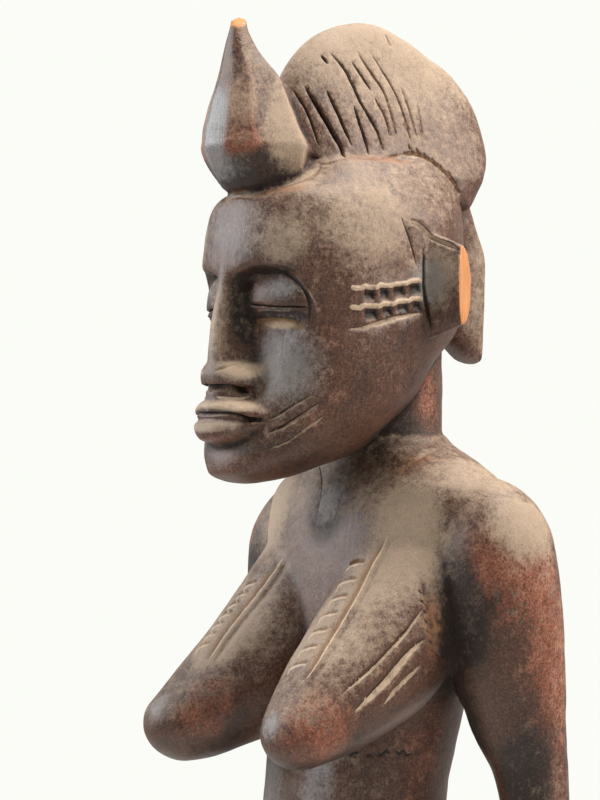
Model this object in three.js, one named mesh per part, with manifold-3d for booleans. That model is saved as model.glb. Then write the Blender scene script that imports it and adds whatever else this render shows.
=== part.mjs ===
// A standing female figure in the Senufo manner, carved with its round base from one log of wood.
// Millimetres, +Z up. The figure faces -Y and its own left is +X. The origin is the centre of the
// base's underside. Every form is a smooth closed skin, and the skins are joined into one solid
// before the hair, the face and the scars are cut into it.
import * as THREE from "three";
import { ParametricGeometry } from "three/addons/geometries/ParametricGeometry.js";
import { mergeVertices } from "three/addons/utils/BufferGeometryUtils.js";
import Module from "manifold-3d";

const wasm = await Module();
wasm.setup();

// Driving dimensions
const BASE = { halfWidth: 76, halfLength: 80, height: 34, edge: 4 };
const CROTCH_Z = 204;
const CREST_HUB = { y: 4, z: 632, inner: 8 };
const CREST_HALF_THICKNESS = { root: 22, rim: 9 };
const LEAN = 0.045;
const HORN_FACETS = 8;
const EYE = { x: 19.5, y: -56, z: 583, halfWidth: 13, halfHeight: 10, bulge: 8 };
const EAR = { x: 52, y: 7, z: 590.5, length: 26, turn: 32 };
const NAVEL = { y: -58, z: 300, radius: 6.5 };
const GROOVE = { halfWidth: 1.1, depth: 1.8, lift: 1.0 };

const WOOD = new THREE.MeshStandardMaterial({ color: 0x5a463b, roughness: 0.55, metalness: 0 });

// Small sums that the skins share

// Smooth run through rows of [place, size, size, ...]: cubic spans whose slopes come from the
// neighbouring rows, held level outside the first and the last row.
function runThrough(rows) {
  const slopes = rows.map((row, i) => {
    const before = rows[Math.max(i - 1, 0)];
    const after = rows[Math.min(i + 1, rows.length - 1)];
    return row.map((_, k) => (after[k] - before[k]) / (after[0] - before[0]));
  });
  return (place) => {
    let i = rows.findIndex((row) => row[0] >= place);
    if (i < 0) i = rows.length - 1;
    i = Math.max(i, 1);
    const [low, high] = [rows[i - 1], rows[i]];
    const span = high[0] - low[0];
    const t = THREE.MathUtils.clamp((place - low[0]) / span, 0, 1);
    const [h00, h10] = [(1 + 2 * t) * (1 - t) ** 2, t * (1 - t) ** 2];
    const [h01, h11] = [t * t * (3 - 2 * t), t * t * (t - 1)];
    return low.slice(1).map((_, k) => {
      const j = k + 1;
      return (
        h00 * low[j] + h10 * span * slopes[i - 1][j] + h01 * high[j] + h11 * span * slopes[i][j]
      );
    });
  };
}

function signedPower(value, power) {
  return Math.sign(value) * Math.abs(value) ** power;
}

const radians = THREE.MathUtils.degToRad;
const vector = (x, y, z) => new THREE.Vector3(x, y, z);

// A three.js geometry as a manifold solid: shared corners merged, and the flat triangles at the
// poles dropped.
function solidOf(geometry) {
  const bare = geometry.clone();
  bare.deleteAttribute("normal");
  bare.deleteAttribute("uv");
  const merged = mergeVertices(bare, 1e-3);
  const corners = [];
  const index = merged.index.array;
  for (let i = 0; i < index.length; i += 3) {
    const [a, b, c] = [index[i], index[i + 1], index[i + 2]];
    if (a !== b && b !== c && c !== a) corners.push(a, b, c);
  }
  const build = (triVerts) =>
    new wasm.Manifold(
      new wasm.Mesh({
        numProp: 3,
        vertProperties: merged.attributes.position.array,
        triVerts: new Uint32Array(triVerts),
      }),
    );
  const made = build(corners);
  return made.volume() > 0 ? made : build(corners.reverse());
}

const joined = (solids) => solids.reduce((all, next) => all.add(next));

// A form carried along a spine. Each row is [x, y, z, across, ahead, behind]: a point of the spine
// and the ring's half sizes there. Rings lie level and the place is z where level is true; or else
// they stand square to the spine, and the place is the distance along it. On an upright form ahead
// is towards the face (-Y). The caps round the two ends over that length.
class Form {
  constructor(rows, { level = false, startCap = 8, endCap = 8, power = 2, facets = 0 } = {}) {
    Object.assign(this, { level, startCap, endCap, power, facets });
    let walked = 0;
    this.run = runThrough(
      rows.map((row, i) => {
        if (i) walked += Math.hypot(...[0, 1, 2].map((k) => row[k] - rows[i - 1][k]));
        return [level ? row[2] : walked, ...row];
      }),
    );
    this.start = level ? rows[0][2] : 0;
    this.end = level ? rows[rows.length - 1][2] : walked;
  }

  // The ring's share of its full size: a quarter circle over each cap.
  shrink(place) {
    const from = (gap, cap) => (cap && gap < cap ? Math.sqrt(Math.max(1 - (1 - gap / cap) ** 2, 0)) : 1);
    return from(place - this.start, this.startCap) * from(this.end - place, this.endCap);
  }

  point(place, angle) {
    const [x, y, z, across, ahead, behind] = this.run(place);
    const size = this.shrink(place);
    const [c, s] = [Math.cos(angle), Math.sin(angle)];
    let side = across * signedPower(c, 2 / this.power) * size;
    let back = (s > 0 ? behind : ahead) * signedPower(s, 2 / this.power) * size;
    if (this.facets) {
      const step = (2 * Math.PI) / this.facets;
      const off = (((angle % step) + step) % step) - step / 2;
      const chord = Math.cos(step / 2) / Math.cos(off);
      side *= chord;
      back *= chord;
    }
    if (this.level) return vector(x + side, y + back, place);
    const ahead2 = this.run(Math.min(place + 0.5, this.end));
    const before = this.run(Math.max(place - 0.5, this.start));
    const along = vector(ahead2[0] - before[0], ahead2[1] - before[1], ahead2[2] - before[2]).normalize();
    const acrossWay = vector(1, 0, 0).addScaledVector(along, -along.x).normalize();
    const backWay = along.clone().cross(acrossWay);
    return vector(x, y, z).addScaledVector(acrossWay, side).addScaledVector(backWay, back);
  }

  // The skin's point and outward normal there.
  frame(place, angle) {
    const point = this.point(place, angle);
    const along = this.point(place + 0.2, angle).sub(this.point(place - 0.2, angle));
    const around = this.point(place, angle + 0.01).sub(this.point(place, angle - 0.01));
    return { point, normal: around.cross(along).normalize() };
  }

  solid(around, stations) {
    const length = this.end - this.start;
    const skin = (u, v, target) => {
      const eased = 0.35 * v + 0.65 * (0.5 - 0.5 * Math.cos(Math.PI * v));
      target.copy(this.point(this.start + length * eased, 2 * Math.PI * (u % 1)));
    };
    return solidOf(new ParametricGeometry(skin, around, stations));
  }
}

const mirrorX = (solid) => solid.mirror([1, 0, 0]);
const bothSides = (solid) => solid.add(mirrorX(solid));

function ellipsoid(x, y, z, halfX, halfY, halfZ, around = 20, rings = 12) {
  const ball = new THREE.SphereGeometry(1, around, rings);
  ball.rotateX(Math.PI / 2);
  ball.scale(halfX, halfY, halfZ);
  ball.translate(x, y, z);
  return solidOf(ball);
}

// A V-shaped cut along a run of skin frames. It is deepest in the middle and runs out at both ends.
function gouge(frames, { halfWidth = GROOVE.halfWidth, depth = GROOVE.depth, even = false } = {}) {
  const stations = frames.map(({ point, normal }, i) => {
    const next = frames[Math.min(i + 1, frames.length - 1)].point;
    const last = frames[Math.max(i - 1, 0)].point;
    const side = next.clone().sub(last).cross(normal).normalize();
    const share = even ? 1 : 0.25 + 0.75 * Math.sin((Math.PI * i) / (frames.length - 1));
    const top = point.clone().addScaledVector(normal, GROOVE.lift);
    const reach = halfWidth * share * (1 + GROOVE.lift / depth);
    return [
      point.clone().addScaledVector(normal, -depth * share),
      top.clone().addScaledVector(side, reach),
      top.clone().addScaledVector(side, -reach),
    ];
  });
  const rings = stations.length;
  const skin = (u, v, target) => {
    const step = Math.round(v * (rings + 1));
    const ring = stations[THREE.MathUtils.clamp(step - 1, 0, rings - 1)];
    if (step === 0 || step === rings + 1) {
      target.copy(ring[0]).add(ring[1]).add(ring[2]).divideScalar(3);
    } else {
      target.copy(ring[Math.round(u * 3) % 3]);
    }
  };
  return solidOf(new ParametricGeometry(skin, 3, rings + 1));
}

// Frames along a straight run in a form's own place and angle.
function frameRun(form, [placeA, angleA], [placeB, angleB], count) {
  return Array.from({ length: count }, (_, i) => {
    const t = i / (count - 1);
    return form.frame(placeA + (placeB - placeA) * t, radians(angleA + (angleB - angleA) * t));
  });
}

// Base, feet and legs

function base() {
  const { halfWidth: r, halfLength, height, edge } = BASE;
  const profile = [
    [0, 0],
    [r - edge, 0],
    [r, edge],
    [r - 1, height - edge],
    [r - edge - 2, height],
    [0, height],
  ].map(([x, z]) => new THREE.Vector2(x, z));
  const turned = new THREE.LatheGeometry(profile, 28);
  turned.rotateX(Math.PI / 2);
  turned.scale(1, halfLength / r, 1);
  return solidOf(turned);
}

const LEG = new Form(
  [
    [30, 12, 38, 15, 14, 15],
    [30, 12, 58, 14, 14, 15],
    [30.5, 9, 84, 17, 16, 20],
    [31, 4, 112, 21, 18, 24],
    [32, -6, 140, 20, 21, 20],
    [32, -6, 158, 22, 23, 21],
    [31, 0, 190, 28, 28, 28],
    [27, 6, 226, 29, 30, 33],
    [25, 6, 248, 26, 28, 32],
  ],
  { startCap: 2, endCap: 14, power: 2.2 },
);

const FOOT = new Form(
  [
    [30, 30, 44, 13, 12, 13],
    [30.5, 12, 47, 15, 14, 16],
    [32, -14, 46, 17, 13, 11],
    [34, -38, 43, 19, 11, 7],
    [35, -56, 41, 17, 9, 5],
  ],
  { startCap: 10, endCap: 8, power: 2.6 },
);

function legs() {
  const toeGaps = [-60, -87, -113, -137].map((angle, i) =>
    gouge(frameRun(FOOT, [64 + i, -angle - 8], [84 - 1.5 * i, -angle], 2), { even: true, depth: 2, halfWidth: 1.1 }),
  );
  const foot = FOOT.solid(12, 7).subtract(joined(toeGaps));
  return bothSides(LEG.solid(12, 9).add(foot));
}

// Trunk, arms and breasts

const TRUNK = new Form(
  [
    [0, 4, CROTCH_Z, 46, 26, 34],
    [0, 4, 226, 55, 34, 46],
    [0, 2, 252, 53, 38, 44],
    [0, -4, 300, 42, 46, 33],
    [0, -5, 345, 38, 38, 33],
    [0, -6, 388, 38, 33, 34],
    [0, 2, 430, 44, 33, 33],
    [0, 6, 470, 54, 33, 31],
    [0, 9, 494, 61, 32, 29],
    [0, 11, 510, 61, 28, 26],
    [0, 12, 520, 47, 23, 23],
    [0, 12, 528, 29, 22, 22],
    [0, 12, 533, 23, 21, 21],
  ],
  { level: true, startCap: 14, endCap: 2, power: 2.3 },
);

const NECK = new Form(
  [
    [0, 12, 505, 24, 24, 24],
    [0, 12, 530, 22, 22, 22.5],
    [0, 10, 560, 22, 22, 25],
    [0, 6, 590, 24, 26, 26],
  ],
  { level: true, startCap: 4, endCap: 4 },
);

const ARM = new Form(
  [
    [60, -14, 258, 8, 9, 10],
    [65, 2, 282, 10, 11, 12],
    [70, 20, 318, 12.5, 13.5, 13.5],
    [72, 28, 348, 12.5, 14, 13.5],
    [71, 27, 378, 12.5, 13, 13],
    [68, 26, 402, 14.5, 15, 14.5],
    [65.5, 22, 422, 18.5, 19.5, 18],
    [63, 17.5, 452, 22, 23.5, 22.5],
    [60, 15, 484, 23, 24, 22],
    [53, 13.5, 514, 20, 20, 19],
  ],
  { startCap: 4, endCap: 30, power: 2.1 },
);

const HAND = new Form(
  [
    [64, -2, 280, 9, 10, 10],
    [61, -11, 265, 8, 10.5, 10],
    [58, -19, 250, 7, 13, 12],
    [53, -30, 230, 6, 13.5, 12.5],
    [48, -37, 212, 5, 11, 10],
  ],
  { startCap: 5, endCap: 7, power: 2.6 },
);

// Along each breast's spine, from the chest to the tip, the ring's last two sizes are its under and
// its upper side.
const BREAST = new Form(
  [
    [27, 18, 486, 30, 32, 25],
    [30, -2, 470, 29, 31, 26],
    [33, -20, 455, 26.5, 28, 24.5],
    [36, -38, 439, 23, 26, 22],
    [38, -55, 425, 18.5, 22.5, 18.5],
    [39.5, -71.5, 411, 14.5, 17.5, 14.5],
  ],
  { startCap: 12, endCap: 11, power: 2.1 },
);

// Scar marks on a breast: a laddered band down its inner face and three long cuts on its outer side.
function breastScars() {
  const rungs = Array.from({ length: 7 }, (_, i) => {
    const place = 43 + i * 7;
    return gouge(frameRun(BREAST, [place, 82], [place - 2, 109], 2), { even: true, depth: 1 });
  });
  const rails = [79, 112].map((angle) =>
    gouge(frameRun(BREAST, [37, angle], [92, angle - 1], 3), { depth: 1.3 }),
  );
  const cuts = [
    [[48.5, 16], [92, 32], 1.4],
    [[54, -2], [94.5, 8], 2.2],
    [[62, -14], [83.5, -12], 1.2],
  ].map(([from, to, depth]) => gouge(frameRun(BREAST, from, to, 3), { depth, halfWidth: 1.3 }));
  return joined([...rungs, ...rails, ...cuts]);
}

function trunk() {
  const fingers = [28, 3, -22].map((angle) =>
    gouge(frameRun(HAND, [52, angle], [74, angle], 2), { even: true, depth: 1.4, halfWidth: 1 }),
  );
  const hand = HAND.solid(10, 6).subtract(joined(fingers));
  const buttocks = bothSides(ellipsoid(23, 22, 238, 28, 26, 30, 12, 8));
  const navel = ellipsoid(0, NAVEL.y + 6, NAVEL.z, NAVEL.radius, 9, NAVEL.radius, 12, 8);
  const limbs = ARM.solid(12, 12)
    .add(hand)
    .add(BREAST.solid(16, 10).subtract(breastScars()));
  return TRUNK.solid(20, 15).add(NECK.solid(14, 3)).add(bothSides(limbs)).add(buttocks).add(navel);
}

// Head and hair

const HEAD = new Form(
  [
    [0, -60, 513.5, 13, 12, 12],
    [0, -56, 518, 18, 17, 18],
    [0, -45, 525, 27, 28, 30],
    [0, -38, 535, 33, 32, 36],
    [0, -31, 546, 37, 36, 43],
    [0, -25, 561, 39.5, 40, 48],
    [0, -18.6, 574, 41, 49, 54],
    [0, -17, 590, 42, 54, 56],
    [0, -16.5, 605, 42, 54, 56],
    [0, -15, 618, 41, 53, 55],
    [0, -12.6, 632, 38, 52, 53],
    [0, -9, 645, 33, 48, 49],
    [0, -6, 656, 29, 42, 44],
  ],
  { level: true, startCap: 5, endCap: 18, power: 2.3 },
);

const HORN = new Form(
  [
    [0, -53, 626, 15, 15, 17],
    [0, -54, 634, 19, 19, 25],
    [0, -56, 644, 21.5, 21.5, 27],
    [0, -57, 651, 20, 20, 22],
    [0, -57.7, 662, 16.5, 16.5, 17],
    [0, -58.6, 670, 13.2, 13, 14],
    [0, -61.9, 679, 8.2, 7.8, 8.6],
    [0, -63.4, 688, 4, 4, 4.2],
    [0, -63.6, 693.5, 2.6, 2.6, 2.6],
  ],
  { level: true, startCap: 5, endCap: 0.6, facets: HORN_FACETS },
);

const TAIL = new Form(
  [
    [0, 55.5, 562, 5.5, 6, 6],
    [0, 54.5, 568, 7, 12, 7.5],
    [0, 54.6, 585, 8, 16, 8],
    [0, 54.8, 605, 8, 16, 8],
    [0, 49, 621, 8.5, 16, 7],
    [0, 42, 636, 9, 16, 7],
  ],
  { level: true, startCap: 3, endCap: 6, power: 2.8 },
);

// The crest's rim, as [degrees from straight back, reach from the hub].
const crestReach = runThrough([
  [-12, 40],
  [3, 47],
  [12, 53],
  [20, 57.5],
  [37, 63],
  [52, 64],
  [65, 62.5],
  [92, 67],
  [110, 67],
  [126, 65],
  [138, 62],
  [168, 52],
]);

// Half thickness of the crest at a share of the way from the hub to the rim: a tent with a round top.
function crestHalf(share) {
  const { root, rim } = CREST_HALF_THICKNESS;
  return (root + (rim - root) * share) * Math.sqrt(Math.max(1 - share ** 7, 0));
}

// Point of the crest's left skin over a place of the middle plane.
function crestPoint(y, z) {
  const [back, up] = [y - CREST_HUB.y, z - CREST_HUB.z];
  const [reach] = crestReach(THREE.MathUtils.radToDeg(Math.atan2(up, back)));
  const share = (Math.hypot(back, up) - CREST_HUB.inner) / (reach - CREST_HUB.inner);
  return vector(crestHalf(THREE.MathUtils.clamp(share, 0, 1)), y, z);
}

function crestFrame(y, z) {
  const slopeY = crestPoint(y + 0.5, z).sub(crestPoint(y - 0.5, z));
  const slopeZ = crestPoint(y, z + 0.5).sub(crestPoint(y, z - 0.5));
  return { point: crestPoint(y, z), normal: slopeY.cross(slopeZ).normalize() };
}

function crest() {
  const [from, to] = [-12, 168];
  const [around, stations] = [12, 16];
  const skin = (u, v, target) => {
    const step = v * stations;
    const turn = from + (to - from) * THREE.MathUtils.clamp((step - 1) / (stations - 2), 0, 1);
    const [reach] = crestReach(turn);
    const way = (u % 1) * 2;
    const side = way < 1 ? 1 : -1;
    const run = side > 0 ? way : 2 - way;
    let share = Math.max((run - 0.1) / 0.9, 0);
    share = 1 - (1 - share) ** 1.6;
    let half = crestHalf(share) * Math.min(run / 0.1, 1);
    if (step < 0.5 || step > stations - 0.5) {
      share = 0.5;
      half = 0;
    }
    const far = CREST_HUB.inner + (reach - CREST_HUB.inner) * share;
    const [c, s] = [Math.cos(radians(turn)), Math.sin(radians(turn))];
    target.set(side * half, CREST_HUB.y + far * c, CREST_HUB.z + far * s);
  };
  return solidOf(new ParametricGeometry(skin, around, stations));
}

// Combed grooves: each starts low on the crest's side, leans forwards and curls a little.
function combing() {
  const count = 9;
  const grooves = Array.from({ length: count }, (_, i) => {
    const foot = -29 + i * 6.9;
    const rise = i < 3 ? 20 + 7 * i : 40 - 1.6 * (i - 3);
    const frames = Array.from({ length: 4 }, (_, k) => {
      const t = k / 3;
      return crestFrame(foot - 11 * t - 3.5 * t * t, 650 - Math.max(i - 7, 0) * 3 + rise * t);
    });
    const deep = i < 9 ? 2.2 : 1.2;
    return gouge(frames, { depth: deep, halfWidth: 1.1 });
  });
  return bothSides(joined(grooves));
}

// Face

function socket() {
  const hollow = new Form(
    [
      [20.5, -74, 554, 9, 10, 9],
      [21, -73, 564, 13, 12, 11],
      [22, -70, 576, 16, 14, 13],
      [22, -69, 588, 16.5, 14, 13],
      [21.5, -69, 597, 15, 14, 12],
    ],
    { level: true, startCap: 9, endCap: 8, power: 2.4 },
  );
  return hollow.solid(12, 7);
}

function face() {
  const nose = new Form(
    [
      [0, -64, 546, 13, 12, 8],
      [0, -64, 552, 13.5, 14.5, 8],
      [0, -64, 560, 9.5, 15, 8],
      [0, -62, 576, 6.8, 16.5, 8],
      [0, -60, 590, 7.2, 15, 8],
      [0, -58, 604, 9, 12.5, 8],
    ],
    { level: true, startCap: 4, endCap: 8, power: 2.6 },
  );
  const upperLip = new Form(
    [
      [0, -64, 539.4, 20, 18, 8],
      [0, -64, 544, 21.5, 20, 8],
      [0, -64, 548.5, 21, 18.5, 8],
    ],
    { level: true, startCap: 2.5, endCap: 4 },
  );
  const lowerLip = new Form(
    [
      [0, -63.5, 526.5, 15, 18, 8],
      [0, -63.5, 533.5, 20, 21.5, 8],
      [0, -63.5, 540.2, 19, 18.5, 8],
    ],
    { level: true, startCap: 5, endCap: 3 },
  );
  const { x, y, z, halfWidth, halfHeight, bulge } = EYE;
  const eyes = bothSides(ellipsoid(x, y, z, halfWidth, bulge, halfHeight, 10, 7));
  return joined([nose.solid(12, 8), upperLip.solid(16, 5), lowerLip.solid(16, 5), eyes]);
}

function eyeSlits() {
  const { x, y, z, halfWidth, bulge } = EYE;
  const lid = new Form(
    [
      [x, y, z - 12, halfWidth, bulge, bulge],
      [x, y, z + 12, halfWidth, bulge, bulge],
    ],
    { level: true, startCap: 0, endCap: 0 },
  );
  return bothSides(gouge(frameRun(lid, [z - 1, 205], [z - 1, 335], 5), { depth: 1.4, halfWidth: 1 }));
}

// Scar marks on one side of the head: two rows of five raised squares on the temple with a line
// below them, and three cuts behind the corner of the mouth.
function headScars() {
  const rows = [
    [591, 594.5],
    [583.5, 587.5],
    [576, 580.5],
    [571, 577],
  ].map(([front, back]) =>
    gouge(frameRun(HEAD, [front, -26], [back, 11], 3), { even: true, depth: 1.2, halfWidth: 0.9 }),
  );
  const columns = Array.from({ length: 6 }, (_, i) => {
    const [turn, rise] = [-25 + i * 7, i * 0.75];
    const run = frameRun(HEAD, [576 + rise, turn], [591 + rise, turn], 2);
    return gouge(run, { even: true, depth: 1.2, halfWidth: 0.9 });
  });
  const cheek = [
    [[539.5, -55], [548, -34]],
    [[532, -55], [544, -28]],
    [[527.5, -45], [539.5, -20]],
  ].map(([from, to]) => gouge(frameRun(HEAD, from, to, 3), { depth: 1.8, halfWidth: 1.3 }));
  return joined([...rows, ...columns, ...cheek]);
}

// Ears stand out and back from the head as D-shaped blocks, cut off flat; the round is behind.
function ears() {
  const { x, y, z, length, turn } = EAR;
  const out = vector(Math.cos(radians(turn)), Math.sin(radians(turn)), 0);
  const back = vector(-out.y, out.x, 0);
  const rings = [
    [0, 0],
    [0, 1],
    [length * 0.45, 1.28],
    [length, 1.36],
    [length, 0],
  ];
  const skin = (u, v, target) => {
    const [inward, size] = rings[Math.round(v * (rings.length - 1))];
    const angle = 2 * Math.PI * (u % 1);
    const [rise, swell] = [Math.cos(angle), Math.sin(angle)];
    const depth = swell > 0 ? 14 : 3.5;
    target
      .set(x, y, z)
      .addScaledVector(out, -inward)
      .addScaledVector(back, size * depth * swell + (size - 1) * 4);
    target.z += size * 15.5 * rise;
  };
  return bothSides(solidOf(new ParametricGeometry(skin, 14, rings.length - 1)));
}

const figure = joined([base(), legs(), trunk()]);
const crown = joined([HEAD.solid(22, 16).subtract(bothSides(socket().add(headScars()))), face()])
  .subtract(eyeSlits())
  .add(crest().subtract(combing()))
  .add(HORN.solid(HORN_FACETS, 9))
  .add(TAIL.solid(12, 8))
  .add(ears());

// The carver set the left shoulder and breast a little higher than the right ones.
function lean(x, z) {
  const { smoothstep } = THREE.MathUtils;
  return LEAN * x * smoothstep(z, 340, 400) * (1 - smoothstep(z, 500, 535));
}

function meshOf(name, solid) {
  const { vertProperties, triVerts, numProp } = solid.getMesh();
  for (let i = 0; i < vertProperties.length; i += numProp) {
    vertProperties[i + 2] += lean(vertProperties[i], vertProperties[i + 2]);
  }
  const geometry = new THREE.BufferGeometry();
  const points = new THREE.BufferAttribute(new Float32Array(vertProperties), numProp);
  geometry.setAttribute("position", points);
  geometry.setIndex(new THREE.BufferAttribute(new Uint32Array(triVerts), 1));
  geometry.computeVertexNormals();
  const mesh = new THREE.Mesh(geometry, WOOD);
  mesh.name = name;
  return mesh;
}

const statue = new THREE.Group();
statue.add(meshOf("figure", figure.add(crown)));
export default statue;
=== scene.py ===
"""A standing female figure in the Senufo manner, carved with its round base from one log.

Millimetres while the shape is made and metres in the finished mesh, with +Z up. The figure faces -Y
and its own left is +X. Every form is a closed skin worked out on a grid; the skins are fused into one
carving, and the hair, the face and the scars are cut into it.
"""

import logging
import math
from dataclasses import dataclass
from enum import Enum
from functools import cached_property

import bpy
import numpy as np
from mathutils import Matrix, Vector


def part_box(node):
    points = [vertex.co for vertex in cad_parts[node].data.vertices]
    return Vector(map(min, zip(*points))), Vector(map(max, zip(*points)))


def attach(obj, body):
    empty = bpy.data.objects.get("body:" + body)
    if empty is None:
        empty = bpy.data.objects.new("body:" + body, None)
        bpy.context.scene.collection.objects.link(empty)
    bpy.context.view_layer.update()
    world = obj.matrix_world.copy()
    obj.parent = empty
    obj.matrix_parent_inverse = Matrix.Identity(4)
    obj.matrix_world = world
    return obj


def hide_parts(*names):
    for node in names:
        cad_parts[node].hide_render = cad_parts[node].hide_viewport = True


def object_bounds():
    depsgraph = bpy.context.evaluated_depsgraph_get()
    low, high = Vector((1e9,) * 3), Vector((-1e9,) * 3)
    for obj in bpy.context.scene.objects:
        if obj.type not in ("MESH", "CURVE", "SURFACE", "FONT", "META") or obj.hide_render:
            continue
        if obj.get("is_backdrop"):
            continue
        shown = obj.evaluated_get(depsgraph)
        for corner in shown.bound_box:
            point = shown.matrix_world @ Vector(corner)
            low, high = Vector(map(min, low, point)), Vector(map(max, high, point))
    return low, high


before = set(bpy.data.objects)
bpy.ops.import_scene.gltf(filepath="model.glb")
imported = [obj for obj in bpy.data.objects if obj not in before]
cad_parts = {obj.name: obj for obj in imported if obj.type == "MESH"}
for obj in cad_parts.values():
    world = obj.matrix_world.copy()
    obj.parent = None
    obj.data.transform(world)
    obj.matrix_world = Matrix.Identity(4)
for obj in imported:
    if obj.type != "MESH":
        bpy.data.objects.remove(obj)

Array = np.ndarray
Rows = tuple[tuple[float, ...], ...]
Point = tuple[float, float, float]
Path = tuple[Point, ...]
Line = tuple[tuple[float, float], ...]
Colour = tuple[float, float, float, float]

MM = 0.001
TINY = 1e-9
LOG = logging.getLogger("figure")

# The chest's lean: the rise for each millimetre sideways, and the heights over which it starts and ends
LEAN = 0.045
LEAN_STARTS = (340, 400)
LEAN_ENDS = (500, 535)


# Small helpers that the rest shares


def smoothstep(value: Array, low: float, high: float) -> Array:
    """Goes from 0 at low to 1 at high along 3t^2 - 2t^3."""
    t = np.clip((value - low) / (high - low), 0.0, 1.0)
    return t * t * (3.0 - 2.0 * t)


def signed_power(value: Array, power: float) -> Array:
    """The size of value raised to power, with the sign of value."""
    return np.sign(value) * np.abs(value) ** power


def unit(vectors: Array) -> Array:
    """Vectors scaled to length 1 along their last axis."""
    return vectors / np.maximum(np.linalg.norm(vectors, axis=-1, keepdims=True), TINY)


def lean(points: Array) -> Array:
    """How much higher the left side of the chest sits: LEAN x, faded in and out over its heights."""
    x, z = points[..., 0], points[..., 2]
    return LEAN * x * smoothstep(z, *LEAN_STARTS) * (1 - smoothstep(z, *LEAN_ENDS))


def leaned(points: Array) -> Array:
    """Places in millimetres, moved by the chest's lean."""
    moved = points.copy()
    moved[..., 2] += lean(points)
    return moved


def rows_of(table: Array) -> Rows:
    """An array's rows as tuples."""
    return tuple(map(tuple, table))


def mirrored(path: Path) -> Path:
    """A path on the figure's other side, where the lean is the other way."""
    line = np.array(path, float)
    line[:, 2] -= 2 * lean(line)
    return rows_of(line * (-1, 1, 1))


def walked(line: Array) -> Array:
    """How far along a line each of its points lies."""
    return np.concatenate([[0], np.cumsum(np.linalg.norm(np.diff(line, axis=0), axis=1))])


def turns(count: int) -> Array:
    """A row of angles spread evenly around a circle."""
    return np.linspace(0, 2 * math.pi, count, endpoint=False)[None, :]


def both_sides(left: list) -> list:
    """Things of the left side, and then their twins."""
    return left + [thing.mirrored() for thing in left]


def placed(name: str, data: bpy.types.ID) -> bpy.types.Object:
    """A new object in the scene that holds data."""
    made = bpy.data.objects.new(name, data)
    bpy.context.scene.collection.objects.link(made)
    return made


@dataclass(frozen=True)
class Run:
    """A smooth run through rows of (place, size, size, ...).

    Attributes:
        rows: the rows, with rising places.
    """

    rows: Rows

    def at(self, place: Array) -> Array:
        """Sizes at places: cubic Hermite spans whose slopes come from the neighbouring rows.

        Args:
            place: places of any shape; outside the rows the end rows hold.

        Returns:
            The sizes, with one more axis than place.
        """
        table = np.array(self.rows, float)
        x, v = table[:, 0], table[:, 1:]
        slope = np.empty_like(v)
        slope[1:-1] = (v[2:] - v[:-2]) / (x[2:] - x[:-2])[:, None]
        slope[0] = (v[1] - v[0]) / (x[1] - x[0])
        slope[-1] = (v[-1] - v[-2]) / (x[-1] - x[-2])
        place = np.asarray(place, float)
        i = np.clip(np.searchsorted(x, place), 1, len(x) - 1)
        span = (x[i] - x[i - 1])[..., None]
        t = np.clip((place[..., None] - x[i - 1][..., None]) / span, 0, 1)
        low, high = v[i - 1], v[i]
        rise, fall = slope[i - 1] * span, slope[i] * span
        return (
            (1 + 2 * t) * (1 - t) ** 2 * low
            + t * (1 - t) ** 2 * rise
            + t * t * (3 - 2 * t) * high
            + t * t * (t - 1) * fall
        )


class Lattice:
    """Seeded smooth noise: random values on a cubic lattice, blended with smooth steps."""

    count: int = 32

    def __init__(self, seed: int, cell: float) -> None:
        """Draws the lattice's values.

        Args:
            seed: the seed of the random values.
            cell: the lattice's spacing in millimetres.
        """
        self.values = np.random.default_rng(seed).uniform(-1, 1, (self.count,) * 3)
        self.cell = cell

    def at(self, points: Array) -> Array:
        """Noise between -1 and 1 at points, which repeats after count cells."""
        spot = points / self.cell
        base = np.floor(spot).astype(int)
        t = spot - base
        t = t * t * (3 - 2 * t)
        total = np.zeros(points.shape[:-1])
        for corner in range(8):
            step = np.array([corner & 1, corner >> 1 & 1, corner >> 2 & 1])
            weight = np.prod(np.where(step, t, 1 - t), axis=-1)
            i = (base + step) % self.count
            total += weight * self.values[i[..., 0], i[..., 1], i[..., 2]]
        return total


# Skins


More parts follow.
